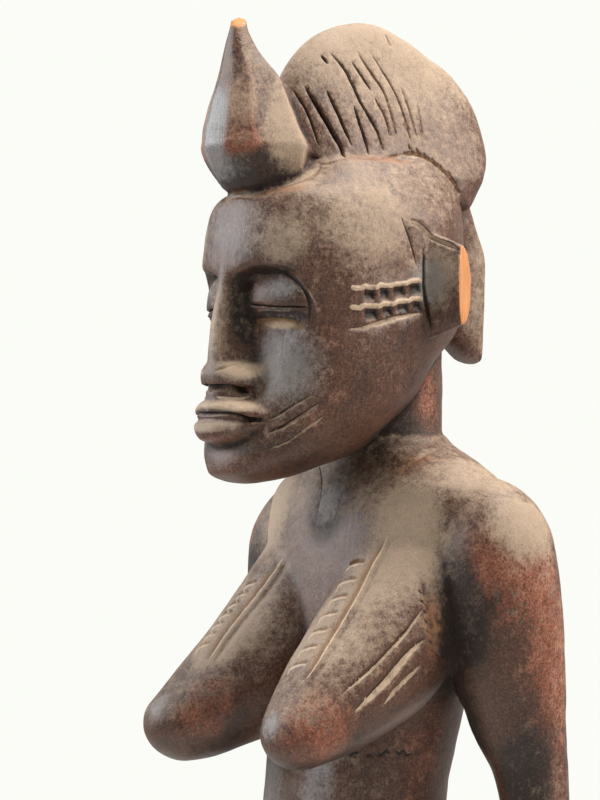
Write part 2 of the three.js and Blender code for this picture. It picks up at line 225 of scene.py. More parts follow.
@dataclass
class Skin:
    """A mesh as arrays: points in millimetres, the faces' corners in one row, and each face's size."""

    points: Array
    corners: Array
    sizes: Array

    @property
    def starts(self) -> Array:
        """Where each face's corners start in their row."""
        return np.cumsum(self.sizes) - self.sizes

    @property
    def owner(self) -> Array:
        """The face of each corner."""
        return np.repeat(np.arange(len(self.sizes)), self.sizes)

    def mirrored(self) -> "Skin":
        """The same skin on the other side of the middle plane, with its faces turned back outwards."""
        starts, owner = self.starts, self.owner
        inside = np.arange(len(self.corners)) - starts[owner]
        order = starts[owner] + self.sizes[owner] - 1 - inside
        return Skin(self.points * (-1, 1, 1), self.corners[order], self.sizes)

    @staticmethod
    def joined(skins: list["Skin"]) -> "Skin":
        """All skins as one, still overlapping."""
        offsets = np.cumsum([0] + [len(s.points) for s in skins[:-1]])
        return Skin(
            np.concatenate([s.points for s in skins]),
            np.concatenate([s.corners + o for s, o in zip(skins, offsets)]),
            np.concatenate([s.sizes for s in skins]),
        )

    @staticmethod
    def closed(rings: Array, first: Point, last: Point) -> "Skin":
        """A skin over rings of points, closed around and shut by a pole at each end.

        Args:
            rings: an array of (rings, points around, 3).
            first: the pole before the first ring.
            last: the pole after the last ring.

        Returns:
            The skin, facing outwards where the rings run anticlockwise seen from the last pole.
        """
        count, around = rings.shape[:2]
        grid = np.arange(count * around).reshape(count, around)
        beside = np.roll(grid, -1, axis=1)
        quads = np.stack([grid[:-1], beside[:-1], beside[1:], grid[1:]], -1).reshape(-1, 4)
        low = np.stack([np.full(around, count * around), beside[0], grid[0]], -1)
        high = np.stack([np.full(around, count * around + 1), grid[-1], beside[-1]], -1)
        points = np.concatenate([rings.reshape(-1, 3), [first], [last]])
        corners = np.concatenate([quads.ravel(), low.ravel(), high.ravel()])
        sizes = np.concatenate([np.full(len(quads), 4), np.full(2 * around, 3)])
        skin = Skin(points, corners, sizes)
        return skin if skin.volume() > 0 else skin.mirrored().flipped()

    def flipped(self) -> "Skin":
        """The skin put back on its own side after a mirror, so that only its faces have turned."""
        return Skin(self.points * (-1, 1, 1), self.corners, self.sizes)

    def volume(self) -> float:
        """Volume inside the skin in cubic millimetres: the sum of a . (b x c) / 6 over its triangles."""
        starts = self.starts
        a = self.points[self.corners[starts]]
        total = 0.0
        for k in (1, 2):
            has = self.sizes > k + 1
            b = self.points[self.corners[starts[has] + k]]
            c = self.points[self.corners[starts[has] + k + 1]]
            total += float(np.sum(a[has] * np.cross(b, c))) / 6
        return total

    def mesh(self, name: str) -> bpy.types.Mesh:
        """The skin as a Blender mesh in metres."""
        mesh = bpy.data.meshes.new(name)
        mesh.vertices.add(len(self.points))
        mesh.vertices.foreach_set("co", (self.points * MM).ravel())
        mesh.loops.add(len(self.corners))
        mesh.loops.foreach_set("vertex_index", self.corners)
        mesh.polygons.add(len(self.sizes))
        mesh.polygons.foreach_set("loop_start", self.starts)
        mesh.update(calc_edges=True)
        mesh.validate()
        return mesh


# A form's grid: the shares of its length with the first and last ring, and how far rings crowd both ends
RING_ENDS = (0.004, 0.996)
CROWDING = 0.65

SPINE_STEP = 0.5  # how far before and after a place the spine's direction is measured


@dataclass(frozen=True)
class Form:
    """A closed form carried along a spine.

    Attributes:
        rows: (x, y, z, across, ahead, behind), a point of the spine and the ring's half sizes there.
        level: rings lie level and the place is z; or else they stand square to the spine.
        start_cap: the length over which the first end is rounded.
        end_cap: the length over which the last end is rounded.
        power: the rings' roundness, 2 for an ellipse and more for a fuller one.
        corners: rising angles in degrees of a flat-sided ring's corners, or none on a round one.
    """

    rows: Rows
    level: bool = False
    start_cap: float = 8
    end_cap: float = 8
    power: float = 2
    corners: tuple[float, ...] = ()

    @cached_property
    def run(self) -> Run:
        """The rows with their places in front: z on a level form, or the distance along the spine."""
        table = np.array(self.rows, float)
        place = table[:, 2] if self.level else walked(table[:, :3])
        return Run(rows_of(np.column_stack([place, table])))

    @property
    def start(self) -> float:
        """The first place."""
        return self.run.rows[0][0]

    @property
    def end(self) -> float:
        """The last place."""
        return self.run.rows[-1][0]

    def shrink(self, place: Array) -> Array:
        """The ring's share of its full size, a quarter circle over each cap."""
        share = np.ones_like(place)
        for gap, cap in ((place - self.start, self.start_cap), (self.end - place, self.end_cap)):
            if cap:
                share = share * np.sqrt(np.clip(1 - np.clip(1 - gap / cap, 0, 1) ** 2, 0, 1))
        return share

    def point(self, place: Array, angle: Array) -> Array:
        """Points of the skin.

        The ring's point is (across c^(2/p), ahead or behind s^(2/p)) with c and s the cosine and sine
        of the angle, times the cap's share, laid level or square to the spine.

        Args:
            place: places along the form.
            angle: angles around it in radians, of the same shape.

        Returns:
            Points with a last axis of x, y, z.
        """
        place, angle = np.broadcast_arrays(np.asarray(place, float), np.asarray(angle, float))
        row = self.run.at(place)
        x, y, z, across, ahead, behind = np.moveaxis(row, -1, 0)
        share = self.shrink(place)
        c, s = np.cos(angle), np.sin(angle)
        side = across * signed_power(c, 2 / self.power) * share
        back = np.where(s > 0, behind, ahead) * signed_power(s, 2 / self.power) * share
        if self.corners:
            chord = self.chord(angle)
            side, back = side * chord, back * chord
        spine = np.stack([x, y, z], -1)
        if self.level:
            return spine + np.stack([side, back, 0 * z], -1)
        ahead_of = self.run.at(np.minimum(place + SPINE_STEP, self.end))[..., :3]
        before = self.run.at(np.maximum(place - SPINE_STEP, self.start))[..., :3]
        along = unit(ahead_of - before)
        across_way = unit(np.array([1.0, 0, 0]) - along * along[..., :1])
        back_way = np.cross(along, across_way)
        return spine + across_way * side[..., None] + back_way * back[..., None]

    def chord(self, angle: Array) -> Array:
        """A flat side's reach between two corners: cos(half their span) / cos(turn from its middle)."""
        edges = np.radians((*self.corners, self.corners[0] + 360))
        turned = np.mod(angle - edges[0], 2 * math.pi) + edges[0]
        k = np.clip(np.searchsorted(edges, turned, side="right"), 1, len(edges) - 1)
        return np.cos((edges[k] - edges[k - 1]) / 2) / np.cos(turned - (edges[k] + edges[k - 1]) / 2)

    def grid(self, around: int, stations: int) -> Array:
        """Rings of the skin from end to end, closer together towards both ends."""
        v = np.linspace(*RING_ENDS, stations)
        eased = (1 - CROWDING) * v + CROWDING * (0.5 - 0.5 * np.cos(math.pi * v))
        place = self.start + (self.end - self.start) * eased
        return self.point(place[:, None], turns(around))

    def skin(self, around: int, stations: int) -> Skin:
        """The closed skin, with a pole on the spine at each end."""
        ends = self.run.at(np.array([self.start, self.end]))[:, :3]
        return Skin.closed(self.grid(around, stations), tuple(ends[0]), tuple(ends[1]))


def upright(spine: tuple[float, float], behind: float, rows: Rows, **settings: float) -> Form:
    """A level form over one spot of the ground plan.

    Args:
        spine: x and y of the spot.
        behind: the rings' half size towards the back.
        rows: (z, across, ahead) of each ring.
        settings: the form's caps and power.

    Returns:
        The form.
    """
    return Form(tuple((*spine, *row, behind) for row in rows), level=True, **settings)


def ball(centre: Point, half: Point, around: int = 64, rings: int = 40) -> Skin:
    """An ellipsoid: centre + half (sin v cos u, sin v sin u, -cos v)."""
    v = np.linspace(0, math.pi, rings + 2)[1:-1, None]
    u = turns(around)
    way = np.stack([np.sin(v) * np.cos(u), np.sin(v) * np.sin(u), -np.cos(v) + 0 * u], -1)
    low = (centre[0], centre[1], centre[2] - half[2])
    high = (centre[0], centre[1], centre[2] + half[2])
    return Skin.closed(np.array(centre) + way * np.array(half), low, high)


# Cuts and stains


class Fill(Enum):
    """What has settled in a cut, and painted light and shade on a pale cut's walls: its right wall, which
    faces the light, gets pale dust and painted light, and its left wall, which lies in shade, is painted dark
    as painted shade.
    """

    DARK = "dark"
    OCHRE = "ochre"
    PALE = "pale"
    NONE = "none"


# A cut's ends: the least taper, and the share of its width that stays there
LEAST_TAPER = 0.02
END_WIDTH = 0.35

# A place that lies higher or lower than LOFT beside a path counts as farther, by LOFT_WEIGHT of the rest
LOFT = 2
LOFT_WEIGHT = 0.15

PIXEL_STEP = 5  # the spacing of the sights that lay a stroke on the skin


@dataclass(frozen=True)
class Cut:
    """A V-shaped cut along a path on the skin.

    Attributes:
        path: the line of its bottom.
        depth: how deep it is in millimetres, or how high where it is negative.
        left: the width of the wall on the left of the path, seen from outside along it.
        right: the width of the other wall.
        ends: the share of the length over which each end runs out.
        fill: what has settled in it.
    """

    path: Path
    depth: float
    left: float
    right: float
    ends: float
    fill: Fill = Fill.DARK

    def mirrored(self) -> "Cut":
        """The same cut on the figure's other side, with its walls changed over."""
        return Cut(mirrored(self.path), self.depth, self.right, self.left, self.ends, self.fill)

    def share(self, points: Array, normals: Array) -> tuple[Array, Array]:
        """How deep the cut is at points, as a share of its depth, and where its left wall is.

        The share is 1 - |s| / wall, where s is the sideways distance from the path within the skin,
        times a taper at the ends, sqrt(t / ends).

        Args:
            points: places on the skin.
            normals: the skin's normals there.

        Returns:
            Shares from 0 to 1, and flags.
        """
        line = np.array(self.path, float)
        steps = np.linalg.norm(np.diff(line, axis=0), axis=1)
        reached = walked(line)
        nearest = np.full(len(points), np.inf)
        side, along = np.zeros(len(points)), np.zeros(len(points))
        for a, b, length, start in zip(line[:-1], line[1:], steps, reached):
            way = (b - a) / max(length, TINY)
            t = np.clip((points - a) @ way, 0, length)
            off = points - a - t[:, None] * way
            lift = np.sum(off * normals, 1)
            flat = off - lift[:, None] * normals
            distance = np.linalg.norm(flat, axis=1) + LOFT_WEIGHT * np.maximum(np.abs(lift) - LOFT, 0)
            closer = distance < nearest
            nearest = np.where(closer, distance, nearest)
            turn = np.sum(np.cross(way[None, :], off) * normals, 1)
            side, along = np.where(closer, turn, side), np.where(closer, start + t, along)
        wall = np.where(side > 0, self.left, self.right)
        place = along / max(reached[-1], TINY)
        taper = np.sqrt(np.clip(np.minimum(place, 1 - place) / self.ends, LEAST_TAPER, 1))
        wide = END_WIDTH + (1 - END_WIDTH) * taper
        return np.clip(1 - nearest / (wall * wide), 0, 1) * taper, side > 0


@dataclass(frozen=True)
class Stroke:
    """A cut read off the photograph.

    Attributes:
        line: its points, in the photograph's pixels across and down.
        depth: as in Cut.
        left: the width of the wall on the left of the line, in millimetres.
        right: the width of the other wall.
        ends: as in Cut.
        fill: what has settled in it.
        twin: the figure's other side has it as well.
    """

    line: Line
    depth: float
    left: float
    right: float
    ends: float = 0.3
    fill: Fill = Fill.DARK
    twin: bool = True

    def pixels(self) -> Array:
        """The line as a smooth run of pixels, about PIXEL_STEP apart."""
        line = np.array(self.line, float)
        reached = walked(line)
        place = np.linspace(0, reached[-1], max(3, round(reached[-1] / PIXEL_STEP)))
        return Run(rows_of(np.column_stack([reached, line]))).at(place)

    def cuts(self, path: Array) -> list[Cut]:
        """The cut along the line's places on the skin, with its twin."""
        if len(path) < 2:
            return []
        cut = Cut(rows_of(path), self.depth, self.left, self.right, self.ends, self.fill)
        return both_sides([cut]) if self.twin else [cut]


@dataclass(frozen=True)
class Sight:
    """The photograph's view of the figure, level with its neck.

    Attributes:
        azimuth: the camera's turn from the figure's front towards its left, in degrees.
        distance: from the camera to the neck's axis in millimetres.
        aim: the point of the neck's axis at the picture's height.
        shift: how far the aim is moved to the picture's left, in millimetres.
        lens: focal length for the film.
        film: the film's longer side.
        width: the picture's width in pixels.
        height: the picture's height in pixels.
    """

    azimuth: float = 52
    distance: float = 774.4
    aim: Point = (0, 12, 546)
    shift: float = 36.1
    lens: float = 85
    film: float = 36
    width: int = 600
    height: int = 800

    @property
    def right(self) -> Array:
        """The picture's rightward direction."""
        turn = math.radians(self.azimuth)
        return np.array([math.cos(turn), math.sin(turn), 0])

    @property
    def forward(self) -> Array:
        """The direction of view."""
        return np.cross((0, 0, 1), self.right)

    @property
    def eye(self) -> Array:
        """The camera's place."""
        return np.array(self.aim) - self.shift * self.right - self.distance * self.forward

    def ways(self, pixels: Array) -> Array:
        """Directions from the eye through pixels."""
        off = (pixels - (self.width / 2, self.height / 2)) * self.film / (self.lens * self.height)
        return unit(self.forward + off[:, :1] * self.right - off[:, 1:] * np.array([0, 0, 1]))


class Tone(Enum):
    """The tones that years of handling, dust and light have left on the wood, with painted light and shade:
    the haze's tone also paints sheen and highlights, the deep tone paints shade, and the dust and pale tones
    paint light.
    """

    DUST_AND_LIGHT = "dust_and_painted_light"
    RUDDY = "ruddy"
    BLOOM = "bloom_and_sheen"
    DEEP_AND_SHADE = "deep"
    OCHRE = "ochre"
    PALE = "paled"


@dataclass(frozen=True)
class Stain:
    """A soft round patch of one tone: strength times 1 - smoothstep of the distance in radii.

    Attributes:
        tone: the tone.
        centre: the middle of the patch.
        radii: its half sizes.
        strength: how much of the tone it adds, or takes away where it is negative.
        hard: the share of the radius that is full before it fades.
    """

    tone: Tone
    centre: Point
    radii: Point
    strength: float
    hard: float = 0.3

    @staticmethod
    def of(tone: Tone, row: tuple[float, ...]) -> "Stain":
        """The patch of a row of centre, radii, strength and, where it isn't the usual one, hard."""
        return Stain(tone, row[:3], row[3:6], *row[6:])

    def mirrored(self) -> "Stain":
        """The same patch on the figure's other side."""
        x, y, z = self.centre
        return Stain(self.tone, (-x, y, z), self.radii, self.strength, self.hard)

    def at(self, points: Array) -> Array:
        """The patch's strength at points."""
        far = np.linalg.norm((points - np.array(self.centre)) / np.array(self.radii), axis=1)
        return self.strength * (1 - smoothstep(far, self.hard, 1.0))


# The figure's forms


@dataclass(frozen=True)
class Pedestal:
    """The round base.

    Attributes:
        half_width: its half size from side to side.
        half_length: its half size from front to back.
        height: its height.
        edge: the rounding of its edges.
    """

    half_width: float = 76
    half_length: float = 80
    height: float = 34
    edge: float = 4

    def skins(self) -> list[Skin]:
        """A profile turned about the vertical and stretched to an oval."""
        r, h, e = self.half_width, self.height, self.edge
        profile = Run(
            (
                (0, r - 2 * e, 0),
                (1, r - e, 0),
                (2, r - 0.6, e * 0.35),
                (3, r, e * 1.2),
                (6, r - 0.4, h * 0.5),
                (9, r - 1, h - e * 1.3),
                (10, r - 2.4, h - e * 0.4),
                (11, r - e - 2, h),
                (12, r - 3 * e, h),
            )
        ).at(np.linspace(0, 12, 90))
        u = turns(240)
        out, up = profile[:, :1], profile[:, 1:]
        stretch = self.half_length / self.half_width
        rings = np.stack([out * np.cos(u), out * stretch * np.sin(u), up + 0 * u], -1)
        return [Skin.closed(rings, (0, 0, 0), (0, 0, h))]


LEG = Form(
    (
        (30, 12, 38, 15, 14, 15), (30, 12, 58, 14, 14, 15), (30.5, 9, 84, 17, 16, 20),
        (31, 4, 112, 21, 18, 24), (32, -6, 140, 20, 21, 20), (32, -6, 158, 22, 23, 21),
        (31, 0, 190, 28, 28, 28), (27, 6, 226, 29, 30, 33), (25, 6, 248, 26, 28, 32),
    ),
    start_cap=2,
    end_cap=14,
    power=2.2,
)

FOOT = Form(
    (
        (30, 30, 44, 13, 12, 13), (30.5, 12, 47, 15, 14, 16), (32, -14, 46, 17, 13, 11),
        (34, -38, 43, 19, 11, 7), (35, -56, 41, 17, 9, 5),
    ),
    start_cap=10,
    end_cap=8,
    power=2.6,
)


class Legs:
    """Bent legs and flat feet."""

    toe_angles: tuple[float, ...] = (60, 87, 113, 137)

    def skins(self) -> list[Skin]:
        """Both legs with their feet."""
        return both_sides([LEG.skin(96, 120), FOOT.skin(80, 80)])

    def cuts(self) -> list[Cut]:
        """The gaps between the toes."""
        found = []
        for i, angle in enumerate(self.toe_angles):
            turn = np.radians(angle + np.linspace(8, 0, 6))
            path = FOOT.point(np.linspace(63 + i, 88 - 1.5 * i, 6), turn)
            found.append(Cut(rows_of(path), 2.0, 1.5, 1.5, 0.15))
        return both_sides(found)


TRUNK = Form(
    (
        (0, 4, 204, 46, 26, 34), (0, 4, 226, 55, 34, 46), (0, 2, 252, 53, 38, 44),
        (0, -4, 300, 42, 46, 33), (0, -5, 345, 38, 38, 33), (0, -6, 388, 38, 33, 34),
        (0, 2, 430, 44, 33, 33), (0, 6, 470, 54, 33, 31), (0, 9, 494, 61, 32, 29),
        (0, 11, 510, 61, 28, 26), (0, 12, 520, 47, 23, 23), (0, 12, 528, 29, 22, 22),
        (0, 12, 533, 23, 21, 21),
    ),
    level=True,
    start_cap=14,
    end_cap=2,
    power=2.3,
)

NECK = Form(
    (
        (0, 12, 505, 24, 24, 24), (0, 12, 530, 22, 22, 22.5), (0, 10, 560, 22, 22, 25),
        (0, 6, 590, 24, 26, 26),
    ),
    level=True,
    start_cap=4,
    end_cap=4,
)


class Trunk:
    """The trunk with its buttocks, navel and neck."""

    def skins(self) -> list[Skin]:
        """The forms of the trunk."""
        seat = ball((23, 22, 238), (28, 26, 30), 96, 60)
        navel = ball((0, -52, 300), (6.5, 9, 6.5))
        armpit = ball((50, 18, 438), (8, 14, 19))
        solid = [TRUNK.skin(220, 260), NECK.skin(120, 80), seat, seat.mirrored(), navel]
        return solid + [armpit, armpit.mirrored()]

    def strokes(self) -> list[Stroke]:
        """The chest's crack, the neck's crease, the worn one before the arm and marks under the breast."""
        crack = Stroke(
            ((318, 462), (322, 480), (320, 500), (316, 520), (315, 537)), 0.45, 0.35, 0.35, twin=False
        )
        neck = Stroke(((400, 465), (415, 460), (430, 452), (441, 449)), 0.8, 1.0, 1.0, fill=Fill.OCHRE)
        line = ((419, 577), (423, 592), (427, 607), (430, 622), (434, 640), (437, 660))
        worn = [Stroke(line, 0.9, 1.4, 1.4, 0.2, Fill.NONE)]
        nick, pitch = (421, 592), (2.1, 10)
        for i in range(7):
            x, y = nick[0] + pitch[0] * i, nick[1] + pitch[1] * i
            worn.append(Stroke(((x - 3, y - 2), (x + 6, y + 5)), 0.9, 0.7, 0.7, 0.2, Fill.NONE))
        marks = (
            ((349, 757), (354, 752), (360, 753)),
            ((366, 757), (371, 754)),
            ((377, 750), (381, 756), (386, 749), (390, 755)),
            ((395, 749), (399, 754), (404, 750), (407, 755), (413, 753)),
        )
        return [crack, neck] + worn + [Stroke(line, 0.5, 0.8, 0.8, 0.2, twin=False) for line in marks]


ARM = Form(
    (
        (60, -14, 258, 8, 9, 10), (65, 2, 282, 10, 11, 12), (70, 20, 318, 12.5, 13.5, 13.5),
        (72, 28, 348, 12.5, 14, 13.5), (71, 27, 378, 12.5, 13, 13), (68, 26, 402, 14.5, 15, 14.5),
        (65.5, 22, 422, 18.5, 19.5, 18), (63, 17.5, 452, 22, 23.5, 22.5), (60, 15, 484, 23, 24, 22),
        (53, 13.5, 514, 20, 20, 19),
    ),
    start_cap=4,
    end_cap=30,
    power=2.1,
)

HAND = Form(
    (
        (64, -2, 280, 9, 10, 10), (61, -11, 265, 8, 10.5, 10), (58, -19, 250, 7, 13, 12),
        (53, -30, 230, 6, 13.5, 12.5), (48, -37, 212, 5, 11, 10),
    ),
    start_cap=5,
    end_cap=7,
    power=2.6,
)


class Arms:
    """Both arms, held clear of the trunk, with the hands on the hips."""

    finger_angles: tuple[float, ...] = (28, 3, -22)

    def skins(self) -> list[Skin]:
        """Both arms with their hands."""
        return both_sides([ARM.skin(110, 220), HAND.skin(64, 60)])

    def cuts(self) -> list[Cut]:
        """The gaps between the fingers."""
        found = []
        for angle in self.finger_angles:
            path = HAND.point(np.linspace(50, 78, 6), np.full(6, math.radians(angle)))
            found.append(Cut(rows_of(path), 1.6, 1.3, 1.3, 0.15))
        return both_sides(found)


BREAST = Form(
    (
        (28, 16, 488, 31, 27, 28), (30, -4, 467, 30, 29, 25.5), (32, -25, 448, 28, 30, 22.5),
        (34.5, -44, 434, 24, 24, 19), (37.5, -61, 423, 17.5, 16.5, 14.5),
        (40.5, -76, 414, 10, 8.5, 9.5),
    ),
    start_cap=12,
    end_cap=9,
    power=2.1,
)

RIGHT_BREAST = Form(
    (
        (28, 16, 488, 31, 27, 28), (29.5, -4, 467, 30, 30, 25.5), (31, -25, 447, 29, 32, 22.5),
        (33, -44, 433, 25, 27, 19), (35.5, -62, 422, 19, 20, 15), (39, -79, 412.5, 10.5, 11, 9.5),
    ),
    start_cap=12,
    end_cap=9,
    power=2.1,
)


class Breasts:
    """Both breasts, with their scarred bands and long cuts."""

    def skins(self) -> list[Skin]:
        """Both breasts, of which the right one hangs a little fuller."""
        return [BREAST.skin(160, 160), RIGHT_BREAST.skin(160, 160).mirrored()]

    def ladder(self, edge: Line, rungs: int, reach: float) -> list[Stroke]:
        """A scarred band: a long cut with a wide inner wall, and rungs cut across that wall.

        Args:
            edge: the long cut's points on the photograph, from above.
            rungs: how many rungs it has.
            reach: how far the rungs run to the picture's left, in pixels.

        Returns:
            The band's cuts.
        """
        ridge = Run(tuple((y, x) for x, y in edge))
        band = [
            Stroke(edge, 1.3, 0.5, 4.0, 0.15, Fill.OCHRE, False),
            Stroke(tuple((x + 5, y + 3) for x, y in edge), 0.9, 3.6, 1.2, 0.2, Fill.NONE, False),
            # A pale raised ridge along the cut: pale dust with a painted highlight where its edge catches the
            # light
            Stroke(tuple((x + 1, y) for x, y in edge), -0.25, 0.9, 0.8, 0.1, Fill.PALE, False),
        ]
        for y in np.linspace(edge[0][1] + 30, edge[-1][1] - 12, rungs):
            x = float(ridge.at(y)[0])
            bend = (x - 0.85 * reach, y + 1), (x - 0.6 * reach, y - 2)
            rung = ((x - reach, y + 8), *bend, (x - 6, y - 3))
            above = tuple((px + 1, py - 3.5) for px, py in rung[1:])
            band.append(Stroke(above, 1.1, 1.0, 1.0, 0.2, Fill.OCHRE, False))
            # A pale raised rung: pale dust with a painted highlight on its lit edge
            band.append(Stroke(rung, -0.55, 0.7, 0.9, 0.3, Fill.PALE, False))
        return band

    def strokes(self) -> list[Stroke]:
        """The laddered bands and the long cuts on the outer side."""
        near = (
            (386, 537), (380, 550), (370, 568), (360, 588),
            (350, 607), (330, 640), (312, 670), (305, 680),
        )
        far = ((282, 557), (273, 572), (255, 596), (245, 608), (225, 634), (208, 660))
        long_cuts = (
            (((341, 695), (360, 679), (380, 660), (400, 639), (415, 620), (424, 606)), 1.5, 1.3, 1.2),
            (((354, 713), (370, 698), (385, 682), (400, 664), (412, 650), (425, 639)), 2.1, 3.4, 2.2),
            (((384, 705), (396, 690), (408, 678), (421, 665)), 1.4, 1.6, 1.1),
        )
        # The long cuts' lit walls get pale dust with painted light, and their other walls painted shade
        outer = [Stroke(*row, 0.3, Fill.PALE) for row in long_cuts]
        return self.ladder(near, 7, 26) + self.ladder(far, 7, 20) + outer


HEAD = Form(
    (
        (0, -60, 513.5, 13, 12, 12), (0, -56, 518, 18, 17, 18), (0, -45, 525, 27, 28, 30),
        (0, -38, 535, 33, 32, 36), (0, -31, 546, 37, 36, 43), (0, -25, 561, 39.5, 40, 48),
        (0, -18.6, 574, 41, 49, 54), (0, -17, 590, 42, 54, 56), (0, -16.5, 605, 42, 54, 56),
        (0, -15.5, 616, 41, 53, 55), (0, -14.5, 622, 39, 52, 54), (0, -14, 626, 37, 48.5, 53),
        (0, -13, 630, 34.5, 41, 51), (0, -12, 635, 31, 34, 49), (0, -10, 641, 25.5, 28, 46),
        (0, -8, 645, 20, 22, 40),
    ),
    level=True,
    start_cap=5,
    end_cap=6,
    power=2.3,
)

NOSE = upright(
    (0, -60),
    8,
    (
        (544.5, 9.5, 17.2), (551, 9.5, 17.6), (556, 9.8, 17.8), (560, 8.6, 17.4), (566, 7.2, 16.8),
        (574, 6.7, 15.8), (581, 6.2, 14.7), (588, 6.0, 13.3), (595, 6.6, 12.2), (603, 8, 10.7),
        (610, 9, 8),
    ),
    start_cap=0.5,
    end_cap=6,
    power=2.3,
)

NOSTRILS = upright(
    (0, -64),
    8,
    (
        (550.2, 11.6, 12.8), (552, 13, 13.8), (554.5, 13.6, 14.2), (557, 13.2, 14.2),
        (559.2, 11.4, 13.6), (561.2, 8.5, 12.6),
    ),
    start_cap=1.4,
    end_cap=2,
    power=2.3,
)

UPPER_LIP = upright(
    (0, -64),
    8,
    (
        (538.8, 20, 14.3), (541, 20.2, 15.2), (543, 18.5, 15.2), (544.8, 15.5, 14.6),
        (546.6, 12, 13),
    ),
    start_cap=1.2,
    end_cap=1.5,
)

LOWER_LIP = upright(
    (0, -64),
    8,
    (
        (528, 8, 13), (530.5, 11.5, 16), (533, 15, 17.2), (536, 18, 16.8), (539.3, 19.3, 14.6),
    ),
    start_cap=3,
    end_cap=2.6,
)

UPPER_LID = upright(
    (19, 0),
    6,
    (
        (0, 14.6, 8.6), (4.5, 14.6, 8.4), (8.5, 14.2, 7.2), (11.8, 13, 5.4), (14.4, 11, 3.6),
    ),
    start_cap=0,
    end_cap=1,
    power=2.4,
)

LOWER_LID = upright(
    (19, 0),
    6,
    (
        (-7.2, 11, 3.6), (-4.8, 13, 5.6), (-2, 13.8, 7.4), (0.2, 13.8, 7.7),
    ),
    start_cap=1,
    end_cap=0.3,
    power=2.4,
)


@dataclass(frozen=True)
class Face:
    """The sunk plane of the cheeks and the eyes, with the lids that swell from it.

    Attributes:
        wall: (height, y of the plane beside the nose).
        nose: how far from the middle that is.
        slope: how far back the plane runs for each millimetre sideways.
        brow: (distance from the middle, height) of the brow's edge over it.
        join: the width over which the plane runs out into the cheek.
        edge: half the height over which the brow's edge turns.
        low: the height over which the plane starts above the upper lip.
        far: the distances from the middle over which it ends.
        slit: the height of the eye's slit.
        lean: the lids' own slope.
        behind: how far the lids' middles lie behind the plane.
    """

    wall: Run = Run(((544, -70), (553, -64.6), (566, -62.3), (573, -60.6), (582, -61.5), (596, -61.5)))
    nose: float = 8
    slope: float = 0.24
    brow: Run = Run(((0, 592.5), (7, 593.2), (12, 595.4), (22, 595.8), (28, 594.8), (31, 590), (34, 580)))
    join: float = 2.5
    edge: float = 1.2
    low: float = 6
    far: tuple[float, float] = (30, 38)
    slit: float = 581.7
    lean: float = 0.3
    behind: float = 4.2

    def plane(self, side: Array, height: Array) -> Array:
        """y of the plane at a distance from the middle and a height."""
        return self.wall.at(height)[..., 0] + self.slope * (side - self.nose)

    def press(self, points: Array) -> Array:
        """Pushes points under the brow back to the plane, with a round join where the plane runs out.

        y becomes (y + w + sqrt((y - w)^2 + k^2)) / 2 with w the plane and k the join's width.
        """
        side, height = np.abs(points[..., 0]), points[..., 2]
        brow, bottom = self.brow.at(side)[..., 0], self.wall.rows[0][0]
        share = 1 - smoothstep(height, brow - self.edge, brow + self.edge)
        share = share * smoothstep(height, bottom, bottom + self.low) * (1 - smoothstep(side, *self.far))
        over = points[..., 1] - self.plane(side, height)
        pressed = points.copy()
        pressed[..., 1] += share * (np.sqrt(over**2 + self.join**2) - over) / 2
        return pressed

    def lids(self) -> list[Skin]:
        """Both lids of both eyes, slanted along the face."""
        made = []
        for form in (UPPER_LID, LOWER_LID):
            lid = form.skin(96, 60)
            x = form.rows[0][0]
            middle = float(self.plane(np.array(x), np.array(self.slit))) + self.behind
            lid.points[:, 1] += middle + self.lean * (lid.points[:, 0] - x)
            lid.points[:, 2] += self.slit
            made += [lid, lid.mirrored()]
        return made


